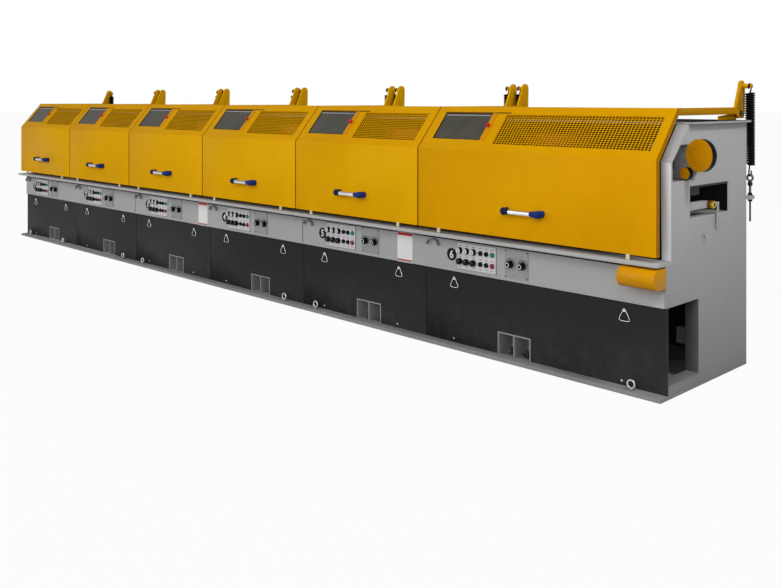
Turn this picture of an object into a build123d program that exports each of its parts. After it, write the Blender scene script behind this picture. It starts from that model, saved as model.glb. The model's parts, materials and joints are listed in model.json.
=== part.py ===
from build123d import *

import os
from math import atan2, cos, degrees, hypot, radians, sin

os.makedirs("parts", exist_ok=True)

# Straight-line wire drawing machine, six blocks in a row, in millimetres.
# X runs along the row towards the outlet end, the operator stands at -Y and Z is up.
# The origin is on the floor, in the middle of the base.

# Overall sizes
MODULES = 6
PITCH = 1425.0
LAST_PITCH = 1925.0
DEPTH = 1134.0
SECTION_MODULES = 2
SECTION_GAP = 3.0

# Heights above the floor
BASE_T = 25.0
PANEL_TOP = 535.0
DECK_TOP = 806.0
GUARD_BOTTOM = 838.0
GUARD_KNEE = 1405.0
GUARD_TOP = 1702.0
WALL_KNEE = 1382.0
ROOF_TOP = 1618.0
PIVOT_Z = 1662.0

# Distances behind the front edge of the base, negative where a piece stands out
RAIL_IN = -39.0
GUARD_IN = -11.0
BAND_IN = 67.0
PANEL_IN = 80.0
WALL_IN = 122.0
ROOF_IN = 337.0
DRIVE_IN = 640.0

# Distance of the guards' pivots behind the rear edge of the base
PIVOT_OUT = 22.0

# Sheet and plate thicknesses
ROOF_T = 15.0
DECK_T = 15.0
RAIL_T = 22.0
REAR_T = 8.0
BAND_T = 8.0
PANEL_T = 12.0
WALL_T = 12.0
GUARD_T = 6.0

# Seats and gaps
SEAT = 0.3
PANEL_GAP = 4.0
GUARD_GAP = 12.0
GUARD_END = 21.0
RUNNING = 0.05

# Guards
GUARD_LEAN = 253.0
GUARD_RETURN = 60.0
RETURN_DROP = 80.0
SIDE_DEPTH = 40.0
SIDE_T = 4.0
ARM_INSET = 60.0
ARM_T = 18.0
ARM_H = 46.0
WINDOW_INSET = 88.0
WINDOW_L = 446.0
WINDOW_H = 238.0
WINDOW_UP = 92.0
PANE_T = 5.0
PANE_LAP = 12.0
STILE_W = 42.0
STILE_T = 5.0
MESH_INSET = 655.0
MESH_END = 82.0
MESH_UP = 65.0
MESH_H = 256.0
MESH_T = 3.0
MESH_CELL = 120.0
MESH_BAR = 14.0
STOP_INSET = 205.0
STOP_W = 16.0
HANDLE_L = 310.0
HANDLE_Z = 1019.0
HANDLE_OUT = 55.0
HANDLE_R = 15.0
HANDLE_END_L = 34.0
HANDLE_END_R = 20.0
KNOB_R = 17.0
KNOB_L = 24.0

# Levers, pivots and counterbalance springs
LEVER_H = 182.0
LEVER_BACK = 34.0
LEVER_TOP_R = 38.0
LEVER_FOOT = 34.0
SHAFT_R = 14.0
EAR_T = 10.0
EAR_R = 20.0
EAR_GAP = 2.0
PIN_R = 16.0
PIN_L = 64.0
GROOVE_R = 11.0
GROOVE_W = 12.0
GROOVE_IN = 50.0
SPRING_R = 33.0
SPRING_TOP = 1790.0
SPRING_BOTTOM = 1325.0
HOOK_R = 4.0
LINK_R = 16.0
EYE_Z = 1205.0
ROD_R = 6.0
ROD_BOTTOM = 940.0
BRACKET_Z = 1115.0
BRACKET_T = 24.0
BRACKET_W = 52.0
NUT_R = 13.0
NUT_H = 12.0

# Anchor pockets in the front of the base
DRIVE_INSET = 805.0
POCKET_W = 276.0
POCKET_H = 150.0
POCKET_DEPTH = 150.0
POCKET_WALL = 10.0
ANCHOR_R = 11.0
ANCHOR_IN = 150.0

# Outlet end
LIP_W = 66.0
LIP_T = 10.0
SERVICE_W = 370.0
SERVICE_BOTTOM = 80.0
SERVICE_JAMB = 88.0
OUTLET_LOW_Y = 355.0
OUTLET_HIGH_Y = 873.0
OUTLET_LOW_Z = 1037.0
OUTLET_HIGH_Z = 1229.0
GUIDE_TURN = 14.0
GUIDE_IN = 330.0
PULLEY_R = 97.0
PULLEY_T = 42.0
PULLEY_OUT = 118.0
PULLEY_Z = 1424.0
ROLLER_R = 36.0
ROLLER_T = 36.0
ROLLER_OUT = 6.0
ROLLER_Z = 1311.0
AXLE_R = 10.0

# Blocks inside the guards
BLOCK_R = 280.0
BLOCK_H = 150.0
BLOCK_BASE_R = 200.0
WIRE_Z = 1100.0
CAP_TOP = 1450.0

# Derived places
LENGTH = PITCH * (MODULES - 1) + LAST_PITCH
X_FAR = -LENGTH / 2
X_NEAR = LENGTH / 2
Y_FRONT = -DEPTH / 2
Y_BACK = DEPTH / 2
RAIL_Y = Y_FRONT + RAIL_IN
GUARD_Y = Y_FRONT + GUARD_IN
BAND_Y = Y_FRONT + BAND_IN
PANEL_Y = Y_FRONT + PANEL_IN
WALL_Y = Y_FRONT + WALL_IN
ROOF_Y = Y_FRONT + ROOF_IN
DRIVE_Y = Y_FRONT + DRIVE_IN
PIVOT_Y = Y_BACK + PIVOT_OUT
REAR_Y = Y_BACK - REAR_T
ROOF_BOTTOM = ROOF_TOP - ROOF_T
DECK_BOTTOM = DECK_TOP - DECK_T
RAIL_BOTTOM = DECK_TOP - RAIL_T
SLOPE_L = hypot(GUARD_LEAN, GUARD_TOP - GUARD_KNEE)
SLOPE_ANGLE = degrees(atan2(GUARD_TOP - GUARD_KNEE, GUARD_LEAN))
NUMBERS = range(1, MODULES + 1)


def left_of(number):
    """The end of a module that lies towards the inlet."""
    return X_FAR + PITCH * (number - 1)


def right_of(number):
    """The end of a module that lies towards the outlet."""
    return X_NEAR if number == MODULES else X_FAR + PITCH * number


def drive_of(number):
    """The middle of a module's drawing block."""
    return left_of(number) + DRIVE_INSET


def section_ends():
    """The ends of the base sections, each of two modules, less the gap where they meet."""
    ends = []
    for first in range(1, MODULES + 1, SECTION_MODULES):
        last = min(first + SECTION_MODULES - 1, MODULES)
        low = left_of(first) + (SECTION_GAP / 2 if first > 1 else 0)
        high = right_of(last) - (SECTION_GAP / 2 if last < MODULES else 0)
        ends.append((low, high))
    return ends


def module_ends(gap):
    """The ends of a panel on each module, less the gap between neighbours."""
    return [
        (left_of(n) + (gap / 2 if n > 1 else 0), right_of(n) - (gap / 2 if n < MODULES else 0))
        for n in NUMBERS
    ]


def inside_walls(ends):
    """The same stretches, the first and last kept clear of the end walls' inner faces."""
    inner = WALL_T + SEAT
    return [(max(low, X_FAR + inner), min(high, X_NEAR - inner)) for low, high in ends]


def profile_plane(x):
    """A plane across the row at x, drawn in Y and Z and facing the outlet."""
    return Plane(origin=(x, 0, 0), x_dir=(0, 1, 0), z_dir=(1, 0, 0))


def front_plane(x, y, z):
    """A plane facing the operator, drawn in X and Z."""
    return Plane(origin=(x, y, z), x_dir=(1, 0, 0), z_dir=(0, -1, 0))


def slope_plane(x, up, out=0.0):
    """A plane on the guards' sloping face, its local Y up the slope, at x and a height up it."""
    run = up / SLOPE_L
    lean = radians(SLOPE_ANGLE)
    normal = (0, -sin(lean), cos(lean))
    y = GUARD_Y + GUARD_LEAN * run + normal[1] * out
    z = GUARD_KNEE + (GUARD_TOP - GUARD_KNEE) * run + normal[2] * out
    return Plane(origin=(x, y, z), x_dir=(1, 0, 0), z_dir=normal)


def guard_arms(number):
    """The places of a guard's two arms, each with the side that its spring pin points to."""
    first_side = 1 if number == 1 else -1
    last_side = 1 if number == MODULES else -1
    return (
        (left_of(number) + ARM_INSET, first_side),
        (right_of(number) - ARM_INSET, last_side),
    )


def all_arms():
    """The places and pin sides of every guard's arms."""
    return [arm for number in NUMBERS for arm in guard_arms(number)]


def eye_ring(radius):
    """A six-sided ring of hook wire, with flats above and below, in the open sketch."""
    RegularPolygon(radius + HOOK_R, 6, major_radius=False)
    RegularPolygon(radius - HOOK_R, 6, major_radius=False, mode=Mode.SUBTRACT)


PIN_Y = PIVOT_Y + LEVER_BACK
PIN_Z = PIVOT_Z + LEVER_H


def spring_x(arm_x, side):
    """The middle of the groove in a lever's pin, where its spring hangs."""
    return arm_x + side * (ARM_T / 2 + GROOVE_IN)


# Base plates in three sections, with a hole for each anchor bolt
with BuildPart() as base_frame:
    for low, high in section_ends():
        with Locations(((low + high) / 2, 0, 0)):
            Box(high - low, DEPTH, BASE_T, align=(Align.CENTER, Align.CENTER, Align.MIN))
    with Locations(
        *[
            (drive_of(n) + side * (POCKET_W - POCKET_WALL) / 4, Y_FRONT + ANCHOR_IN, BASE_T)
            for n in NUMBERS
            for side in (-1, 1)
        ]
    ):
        Hole(ANCHOR_R, BASE_T)
base_frame.part.label = "base_frame"
export_step(base_frame.part, "parts/base_frame.step")

# Lifting eyes near the ends of each section's front edge, and one more in the first
EYE_INSET = 210.0
EXTRA_EYE = 1150.0
EYE_IN = 34.0
EYE_R = 24.0
EYE_WIRE = 7.0
EYE_STEM = 16.0
EYE_STEM_R = 12.0
eye_places = [x for low, high in section_ends() for x in (low + EYE_INSET, high - EYE_INSET)]
eye_places.append(X_FAR + EXTRA_EYE)
with BuildPart() as lifting_eyes:
    with BuildSketch(Plane.XY.offset(BASE_T)):
        with Locations(*[(x, Y_FRONT + EYE_IN) for x in eye_places]):
            RegularPolygon(EYE_STEM_R, 8)
    extrude(amount=EYE_STEM)
    ring_z = BASE_T + EYE_STEM + EYE_R - EYE_WIRE / 2
    with BuildSketch(front_plane(0, Y_FRONT + EYE_IN, ring_z)):
        with Locations(*[(x, 0) for x in eye_places]):
            RegularPolygon(EYE_R + EYE_WIRE, 12)
            RegularPolygon(EYE_R - EYE_WIRE, 12, mode=Mode.SUBTRACT)
    extrude(amount=EYE_WIRE, both=True)
lifting_eyes.part.label = "lifting_eyes"
export_step(lifting_eyes.part, "parts/lifting_eyes.step")

# Anchor pockets, each a two-cell box open to the front over its pair of bolts
CELL_W = (POCKET_W - 3 * POCKET_WALL) / 2
CELL_H = POCKET_H - POCKET_WALL
pocket_places = [(drive_of(n), POCKET_H / 2) for n in NUMBERS]
cell_places = [
    (drive_of(n) + side * (CELL_W + POCKET_WALL) / 2, CELL_H / 2) for n in NUMBERS for side in (-1, 1)
]
with BuildPart() as anchor_pockets:
    with BuildSketch(front_plane(0, PANEL_Y, BASE_T)):
        with Locations(*pocket_places):
            Rectangle(POCKET_W, POCKET_H)
        with Locations(*cell_places):
            Rectangle(CELL_W, CELL_H, mode=Mode.SUBTRACT)
    extrude(amount=-POCKET_DEPTH)
    with BuildSketch(front_plane(0, PANEL_Y + POCKET_DEPTH, BASE_T)):
        with Locations(*pocket_places):
            Rectangle(POCKET_W, POCKET_H)
    extrude(amount=-POCKET_WALL)
anchor_pockets.part.label = "anchor_pockets"
export_step(anchor_pockets.part, "parts/anchor_pockets.step")

# Dark lift-off panels along the front, each notched over its pocket, with folded rear edges
PANEL_FOLD = 30.0
PANEL_H = PANEL_TOP - BASE_T
with BuildPart() as lower_panels:
    with BuildSketch(front_plane(0, PANEL_Y, BASE_T)):
        for low, high in module_ends(PANEL_GAP):
            with Locations(((low + high) / 2, PANEL_H / 2)):
                Rectangle(high - low, PANEL_H)
        with Locations(*pocket_places):
            Rectangle(POCKET_W + 2 * SEAT, POCKET_H + 2 * SEAT, mode=Mode.SUBTRACT)
    extrude(amount=-PANEL_T)
    with BuildSketch(Plane.XY.offset(PANEL_TOP - PANEL_T)):
        for low, high in inside_walls(module_ends(PANEL_GAP)):
            with Locations(((low + high) / 2, PANEL_Y + PANEL_T + PANEL_FOLD / 2)):
                Rectangle(high - low, PANEL_FOLD)
    extrude(amount=PANEL_T)
lower_panels.part.label = "lower_panels"
export_step(lower_panels.part, "parts/lower_panels.step")

# Triangular wire pulls hanging from the panels
PULL_INSET = 285.0
PULL_Z = 470.0
PULL_HALF = 32.0
PULL_DROP = 62.0
PULL_WIRE = 3.0
PULL_BOSS_R = 9.0
PULL_BOSS_L = 10.0
pull_places = [(x, 0) for n in NUMBERS for x in (left_of(n) + PULL_INSET, right_of(n) - PULL_INSET)]
with BuildPart() as panel_pulls:
    with BuildSketch(front_plane(0, PANEL_Y, PULL_Z)):
        with Locations(*pull_places):
            RegularPolygon(PULL_BOSS_R, 8)
    extrude(amount=PULL_BOSS_L)
    with BuildSketch(front_plane(0, PANEL_Y - PULL_BOSS_L + 2 * PULL_WIRE, PULL_Z)):
        with Locations(*pull_places):
            Polygon(
                (-PULL_WIRE, PULL_WIRE),
                (-PULL_HALF, -PULL_DROP),
                (PULL_HALF, -PULL_DROP),
                (PULL_WIRE, PULL_WIRE),
                align=None,
            )
            Polygon(
                (0, -3 * PULL_WIRE),
                (4 * PULL_WIRE - PULL_HALF, 2 * PULL_WIRE - PULL_DROP),
                (PULL_HALF - 4 * PULL_WIRE, 2 * PULL_WIRE - PULL_DROP),
                align=None,
                mode=Mode.SUBTRACT,
            )
    extrude(amount=2 * PULL_WIRE)
panel_pulls.part.label = "panel_pulls"
export_step(panel_pulls.part, "parts/panel_pulls.step")

# Control band, a folded channel in three sections with a lip along its foot
BAND_FOLD = 40.0
BAND_LIP = 6.0
BAND_LIP_H = 14.0
with BuildPart() as control_band:
    for low, high in inside_walls(section_ends()):
        with BuildSketch(profile_plane(low)):
            with BuildLine():
                Polyline(
                    (BAND_Y, RAIL_BOTTOM),
                    (BAND_Y, PANEL_TOP + BAND_LIP_H),
                    (BAND_Y - BAND_LIP, PANEL_TOP + BAND_LIP_H - BAND_LIP),
                    (BAND_Y - BAND_LIP, PANEL_TOP),
                    (BAND_Y + BAND_FOLD, PANEL_TOP),
                    (BAND_Y + BAND_FOLD, PANEL_TOP + BAND_T),
                    (BAND_Y + BAND_T, PANEL_TOP + BAND_T),
                    (BAND_Y + BAND_T, RAIL_BOTTOM - BAND_T),
                    (BAND_Y + BAND_FOLD, RAIL_BOTTOM - BAND_T),
                    (BAND_Y + BAND_FOLD, RAIL_BOTTOM),
                    close=True,
                )
            make_face()
        extrude(amount=high - low)
control_band.part.label = "control_band"
export_step(control_band.part, "parts/control_band.step")

# Ledge rail under the guards, in three sections, with a turned-down front edge
with BuildPart() as front_rail:
    for low, high in section_ends():
        with BuildSketch(profile_plane(low)):
            with BuildLine():
                Polyline(
                    (RAIL_Y, RAIL_BOTTOM),
                    (RAIL_Y, DECK_TOP),
                    (WALL_Y, DECK_TOP),
                    (WALL_Y, RAIL_BOTTOM),
                    close=True,
                )
            make_face()
        extrude(amount=high - low)
    near_edges = front_rail.edges().filter_by(Axis.Z).group_by(Axis.X)[-1].sort_by(Axis.Y)[0]
    chamfer(near_edges, length=RAIL_T / 2)
front_rail.part.label = "front_rail"
export_step(front_rail.part, "parts/front_rail.step")

# Small arched hoods on the band under the rail, one beside each module's inlet end
HOOD_INSET = 90.0
HOOD_W = 118.0
HOOD_H = 48.0
HOOD_Z = 702.0
HOOD_T = 6.0
HOOD_OUT = 30.0
HOOD_STEPS = range(0, 181, 30)
with BuildPart() as rail_tabs:
    with BuildSketch(*[front_plane(left_of(n) + HOOD_INSET, BAND_Y - SEAT, HOOD_Z) for n in NUMBERS]):
        with BuildLine():
            Polyline(
                *[(HOOD_W / 2 * cos(radians(a)), HOOD_H * sin(radians(a))) for a in HOOD_STEPS],
                *[
                    ((HOOD_W / 2 - HOOD_T) * cos(radians(a)), (HOOD_H - HOOD_T) * sin(radians(a)))
                    for a in reversed(HOOD_STEPS)
                ],
                close=True,
            )
        make_face()
    extrude(amount=HOOD_OUT)
rail_tabs.part.label = "rail_tabs"
export_step(rail_tabs.part, "parts/rail_tabs.step")

# Deck under the drawing blocks
with BuildPart() as deck:
    for low, high in inside_walls(section_ends()):
        with BuildSketch(Plane.XY.offset(DECK_BOTTOM)):
            with Locations(((low + high) / 2, (WALL_Y + REAR_Y) / 2)):
                Rectangle(high - low, REAR_Y - WALL_Y - 2 * SEAT)
        extrude(amount=DECK_T)
deck.part.label = "deck"
export_step(deck.part, "parts/deck.step")

# Rear panels, one a module, standing on the base and carrying the roof
with BuildPart() as rear_panels:
    for low, high in inside_walls(module_ends(PANEL_GAP)):
        with BuildSketch(front_plane(0, REAR_Y, BASE_T)):
            with Locations(((low + high) / 2, (ROOF_BOTTOM - SEAT - BASE_T) / 2)):
                Rectangle(high - low, ROOF_BOTTOM - SEAT - BASE_T)
        extrude(amount=-REAR_T)
rear_panels.part.label = "rear_panels"
export_step(rear_panels.part, "parts/rear_panels.step")

# Roof plates, in three sections, from the front slope back to the pivots
with BuildPart() as roof_plates:
    for low, high in section_ends():
        low -= LIP_T if low == X_FAR else 0
        high += LIP_W / 2 if high == X_NEAR else 0
        with BuildSketch(Plane.XY.offset(ROOF_BOTTOM)):
            with Locations(((low + high) / 2, (ROOF_Y + Y_BACK) / 2)):
                Rectangle(high - low, Y_BACK - ROOF_Y)
        extrude(amount=ROOF_T)
roof_plates.part.label = "roof_plates"
export_step(roof_plates.part, "parts/roof_plates.step")


def end_outline():
    """The outline of an end wall in Y and Z, clear of the band, panels, rail and roof."""
    top = ROOF_BOTTOM - SEAT
    return (
        (PANEL_Y + PANEL_T + SEAT, BASE_T),
        (PANEL_Y + PANEL_T + SEAT, PANEL_TOP + SEAT),
        (BAND_Y, PANEL_TOP + SEAT),
        (BAND_Y, RAIL_BOTTOM - SEAT),
        (WALL_Y + SEAT, RAIL_BOTTOM - SEAT),
        (WALL_Y + SEAT, WALL_KNEE),
        (ROOF_Y, top),
        (Y_BACK, top),
        (Y_BACK, BASE_T),
    )


# Outlet end wall, with its service opening, wire opening and the cut-out for the guide pulleys
CUT_LOW_IN = 140.0
CUT_HIGH_IN = 385.0
CUT_LOW_Z = 1268.0
CUT_HIGH_Z = 1482.0
FLANGE_W = 66.0
SILL_D = 172.0
with BuildPart() as near_end_wall:
    with BuildSketch(profile_plane(X_NEAR)):
        with BuildLine():
            Polyline(*end_outline(), close=True)
        make_face()
        service_y = PANEL_Y + PANEL_T + SEAT
        with Locations(
            (service_y + SERVICE_W / 2, (SERVICE_BOTTOM + PANEL_TOP + SEAT) / 2),
        ):
            Rectangle(SERVICE_W, PANEL_TOP + SEAT - SERVICE_BOTTOM, mode=Mode.SUBTRACT)
        with Locations(
            (
                Y_FRONT + (OUTLET_LOW_Y + OUTLET_HIGH_Y) / 2,
                (OUTLET_LOW_Z + OUTLET_HIGH_Z) / 2,
            )
        ):
            Rectangle(
                OUTLET_HIGH_Y - OUTLET_LOW_Y,
                OUTLET_HIGH_Z - OUTLET_LOW_Z,
                mode=Mode.SUBTRACT,
            )
        with BuildLine():
            Polyline(
                (Y_FRONT + CUT_LOW_IN, CUT_LOW_Z),
                (Y_FRONT + CUT_LOW_IN, WALL_KNEE),
                (Y_FRONT + CUT_LOW_IN + CUT_HIGH_Z - WALL_KNEE, CUT_HIGH_Z),
                (Y_FRONT + CUT_HIGH_IN, CUT_HIGH_Z),
                (Y_FRONT + CUT_HIGH_IN, CUT_LOW_Z),
                close=True,
            )
        make_face(mode=Mode.SUBTRACT)
    extrude(amount=-WALL_T)
    jamb_y = service_y + SERVICE_W
    with BuildSketch(profile_plane(X_NEAR - WALL_T)):
        with Locations((jamb_y + WALL_T / 2, (BASE_T + PANEL_TOP) / 2)):
            Rectangle(WALL_T, PANEL_TOP - BASE_T)
        with Locations((service_y + SERVICE_W / 2, SERVICE_BOTTOM - WALL_T / 2)):
            Rectangle(SERVICE_W, WALL_T)
    extrude(amount=-(SERVICE_JAMB - WALL_T))
    with BuildSketch(profile_plane(X_NEAR - WALL_T)):
        with Locations((Y_FRONT + (OUTLET_LOW_Y + OUTLET_HIGH_Y) / 2, OUTLET_LOW_Z - WALL_T / 2)):
            Rectangle(OUTLET_HIGH_Y - OUTLET_LOW_Y, WALL_T)
    extrude(amount=-SILL_D)
    with BuildSketch(profile_plane(X_NEAR - WALL_T)):
        with BuildLine():
            Polyline(
                (WALL_Y + SEAT, DECK_TOP + SEAT),
                (WALL_Y + SEAT, WALL_KNEE),
                (ROOF_Y, ROOF_BOTTOM - SEAT),
                (ROOF_Y + LIP_T, ROOF_BOTTOM - SEAT),
                (WALL_Y + SEAT + LIP_T, WALL_KNEE - LIP_T / 2),
                (WALL_Y + SEAT + LIP_T, DECK_TOP + SEAT),
                close=True,
            )
        make_face()
    extrude(amount=-(FLANGE_W - WALL_T))
near_end_wall.part.label = "near_end_wall"
export_step(near_end_wall.part, "parts/near_end_wall.step")

# Inlet end wall, plain but for the opening where the wire comes in
with BuildPart() as far_end_wall:
    with BuildSketch(profile_plane(X_FAR)):
        with BuildLine():
            Polyline(*end_outline(), close=True)
        make_face()
        with Locations(
            (
                Y_FRONT + (OUTLET_LOW_Y + OUTLET_HIGH_Y) / 2,
                (OUTLET_LOW_Z + OUTLET_HIGH_Z) / 2,
            )
        ):
            Rectangle(
                OUTLET_HIGH_Y - OUTLET_LOW_Y,
                OUTLET_HIGH_Z - OUTLET_LOW_Z,
                mode=Mode.SUBTRACT,
            )
    extrude(amount=WALL_T)
    with BuildSketch(profile_plane(X_FAR + WALL_T)):
        with BuildLine():
            Polyline(
                (WALL_Y + SEAT, DECK_TOP + SEAT),
                (WALL_Y + SEAT, WALL_KNEE),
                (ROOF_Y, ROOF_BOTTOM - SEAT),
                (ROOF_Y + LIP_T, ROOF_BOTTOM - SEAT),
                (WALL_Y + SEAT + LIP_T, WALL_KNEE - LIP_T / 2),
                (WALL_Y + SEAT + LIP_T, DECK_TOP + SEAT),
                close=True,
            )
        make_face()
    extrude(amount=FLANGE_W - WALL_T)
far_end_wall.part.label = "far_end_wall"
export_step(far_end_wall.part, "parts/far_end_wall.step")

# Pivot ears on the roof, one beside each arm, with the shaft that the arm turns on
EAR_FOOT = 250.0
EAR_FOOT_H = 26.0
COLLAR_R = 19.0
COLLAR_T = 5.0
with BuildPart() as pivot_brackets:
    for inward in (1, -1):
        arms = [arm_x for arm_x, _ in all_arms()][(0 if inward > 0 else 1)::2]
        starts = [arm_x + inward * (ARM_T / 2 + EAR_GAP) for arm_x in arms]
        with BuildSketch(*[profile_plane(start) for start in starts]):
            with BuildLine():
                Polyline(
                    (Y_BACK - EAR_FOOT, ROOF_TOP),
                    (Y_BACK - EAR_FOOT, ROOF_TOP + EAR_FOOT_H),
                    (PIVOT_Y - 3 * EAR_R, PIVOT_Z),
                    (PIVOT_Y, PIVOT_Z + EAR_R),
                    (PIVOT_Y + EAR_R, PIVOT_Z),
                    (Y_BACK, ROOF_TOP),
                    close=True,
                )
            make_face()
            with Locations((PIVOT_Y, PIVOT_Z)):
                RegularPolygon(EAR_R, 12)
        extrude(amount=inward * EAR_T)
        with BuildSketch(*[profile_plane(start) for start in starts]):
            with Locations((PIVOT_Y, PIVOT_Z)):
                Circle(SHAFT_R)
        extrude(amount=-inward * (ARM_T + 2 * EAR_GAP))
        outer = [start - inward * (ARM_T + 2 * EAR_GAP) for start in starts]
        with BuildSketch(*[profile_plane(start) for start in outer]):
            with Locations((PIVOT_Y, PIVOT_Z)):
                RegularPolygon(COLLAR_R, 12)
        extrude(amount=-inward * COLLAR_T)
pivot_brackets.part.label = "pivot_brackets"
export_step(pivot_brackets.part, "parts/pivot_brackets.step")

# Guards, each a folded sheet on two arms that turn on the rear pivots
TRACK_L = 600.0
TRACK_H = 8.0
TRACK_T = 4.0
for n in NUMBERS:
    low = left_of(n) + (GUARD_GAP / 2 if n > 1 else GUARD_END)
    high = right_of(n) - (GUARD_GAP / 2 if n < MODULES else GUARD_END)
    window_x = left_of(n) + WINDOW_INSET
    mesh_low = left_of(n) + MESH_INSET
    mesh_high = right_of(n) - MESH_END
    skin = (
        (GUARD_Y + SIDE_DEPTH, GUARD_BOTTOM),
        (GUARD_Y, GUARD_BOTTOM),
        (GUARD_Y, GUARD_KNEE),
        (GUARD_Y + GUARD_LEAN, GUARD_TOP),
        (GUARD_Y + GUARD_LEAN + GUARD_RETURN, GUARD_TOP),
    )
    with BuildPart() as guard:
        with BuildSketch(profile_plane(low)):
            with BuildLine():
                fold = Polyline(*skin)
                offset(fold, amount=GUARD_T, side=Side.RIGHT, kind=Kind.INTERSECTION)
            make_face()
        extrude(amount=high - low)
        with BuildSketch(slope_plane(window_x + WINDOW_L / 2, WINDOW_UP + WINDOW_H / 2)):
            Rectangle(WINDOW_L, WINDOW_H)
        extrude(amount=GUARD_T, both=True, mode=Mode.SUBTRACT)
        with BuildSketch(slope_plane((mesh_low + mesh_high) / 2, MESH_UP + MESH_H / 2)):
            Rectangle(mesh_high - mesh_low, MESH_H)
        extrude(amount=GUARD_T, both=True, mode=Mode.SUBTRACT)
        for start in (low, high - SIDE_T):
            with BuildSketch(profile_plane(start)):
                with BuildLine():
                    edge = Polyline(*skin[1:4])
                    offset(edge, amount=SIDE_DEPTH, side=Side.RIGHT, kind=Kind.INTERSECTION)
                make_face()
            extrude(amount=SIDE_T)
        stile_x = window_x + WINDOW_L + STILE_W / 2
        with BuildSketch(slope_plane(stile_x, WINDOW_UP + WINDOW_H / 2)):
            Rectangle(STILE_W, WINDOW_H)
        extrude(amount=STILE_T)
        track_up = WINDOW_UP + WINDOW_H + TRACK_H / 2
        with BuildSketch(slope_plane(window_x + TRACK_L / 2, track_up)):
            Rectangle(TRACK_L, TRACK_H)
        extrude(amount=TRACK_T)
        for stop_x in (left_of(n) + STOP_INSET, right_of(n) - STOP_INSET):
            with BuildSketch(Plane.XY.offset(DECK_TOP + SEAT)):
                with Locations((stop_x, GUARD_Y + STOP_W / 2)):
                    Rectangle(STOP_W, STOP_W)
            extrude(amount=GUARD_BOTTOM + GUARD_T - DECK_TOP - SEAT)
        (first_arm, _), (last_arm, _) = guard_arms(n)
        with BuildSketch(profile_plane(first_arm)):
            with Locations((GUARD_Y + GUARD_LEAN + GUARD_RETURN - GUARD_T / 2, GUARD_TOP - RETURN_DROP / 2)):
                Rectangle(GUARD_T, RETURN_DROP)
        extrude(amount=last_arm - first_arm)
        arm_run = ARM_H * GUARD_LEAN / (GUARD_TOP - GUARD_KNEE)
        for arm_x, side in guard_arms(n):
            with BuildSketch(profile_plane(arm_x - ARM_T / 2)):
                with BuildLine():
                    Polyline(
                        (GUARD_Y + GUARD_LEAN, GUARD_TOP),
                        (PIVOT_Y, GUARD_TOP),
                        (PIVOT_Y, GUARD_TOP - ARM_H),
                        (GUARD_Y + GUARD_LEAN - arm_run, GUARD_TOP - ARM_H),
                        close=True,
                    )
                make_face()
                with BuildLine():
                    Polyline(
                        (PIVOT_Y - 2 * LEVER_FOOT, GUARD_TOP),
                        (PIN_Y - LEVER_TOP_R, PIN_Z),
                        (PIN_Y + LEVER_TOP_R, PIN_Z),
                        (PIVOT_Y + 2 * LEVER_FOOT, PIVOT_Z),
                        (PIVOT_Y + 1.5 * LEVER_FOOT, PIVOT_Z - LEVER_FOOT),
                        (PIVOT_Y - 0.5 * LEVER_FOOT, PIVOT_Z - LEVER_FOOT),
                        (PIVOT_Y - 2 * LEVER_FOOT, GUARD_TOP - ARM_H),
                        close=True,
                    )
                make_face()
                with Locations((PIN_Y, PIN_Z)):
                    RegularPolygon(LEVER_TOP_R, 16)
                with Locations((PIVOT_Y, PIVOT_Z)):
                    Circle(SHAFT_R + RUNNING, mode=Mode.SUBTRACT)
            extrude(amount=ARM_T)
            pin_start = arm_x + side * ARM_T / 2
            with BuildSketch(profile_plane(pin_start)):
                with Locations((PIN_Y, PIN_Z)):
                    RegularPolygon(PIN_R, 12)
            extrude(amount=side * PIN_L)
            with BuildSketch(profile_plane(pin_start + side * (GROOVE_IN - GROOVE_W / 2))):
                with Locations((PIN_Y, PIN_Z)):
                    RegularPolygon(PIN_R + SEAT, 12)
                    RegularPolygon(GROOVE_R, 12, mode=Mode.SUBTRACT)
            extrude(amount=side * GROOVE_W, mode=Mode.SUBTRACT)
    guard.part.label = f"guard_{n}"
    export_step(guard.part, f"parts/guard_{n}.step")

    # The tinted window pane, held behind the sheet
    with BuildPart() as window:
        pane_plane = slope_plane(window_x + WINDOW_L / 2, WINDOW_UP + WINDOW_H / 2, -GUARD_T - SEAT)
        with BuildSketch(pane_plane):
            Rectangle(WINDOW_L + 2 * PANE_LAP, WINDOW_H + 2 * PANE_LAP)
        extrude(amount=-PANE_T)
    window.part.label = f"window_{n}"
    export_step(window.part, f"parts/window_{n}.step")

    # The mesh panel, drawn with few wide cells
    with BuildPart() as mesh_panel:
        mesh_w = mesh_high - mesh_low
        columns = round(mesh_w / MESH_CELL)
        rows = round(MESH_H / MESH_CELL)
        column_w = mesh_w / columns
        row_h = MESH_H / rows
        mesh_plane = slope_plane((mesh_low + mesh_high) / 2, MESH_UP + MESH_H / 2, -GUARD_T - SEAT)
        with BuildSketch(mesh_plane):
            Rectangle(mesh_w + 2 * PANE_LAP, MESH_H + 2 * PANE_LAP)
            with GridLocations(column_w, row_h, columns, rows):
                Rectangle(column_w - MESH_BAR, row_h - MESH_BAR, mode=Mode.SUBTRACT)
        extrude(amount=-MESH_T)
    mesh_panel.part.label = f"mesh_panel_{n}"
    export_step(mesh_panel.part, f"parts/mesh_panel_{n}.step")

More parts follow.
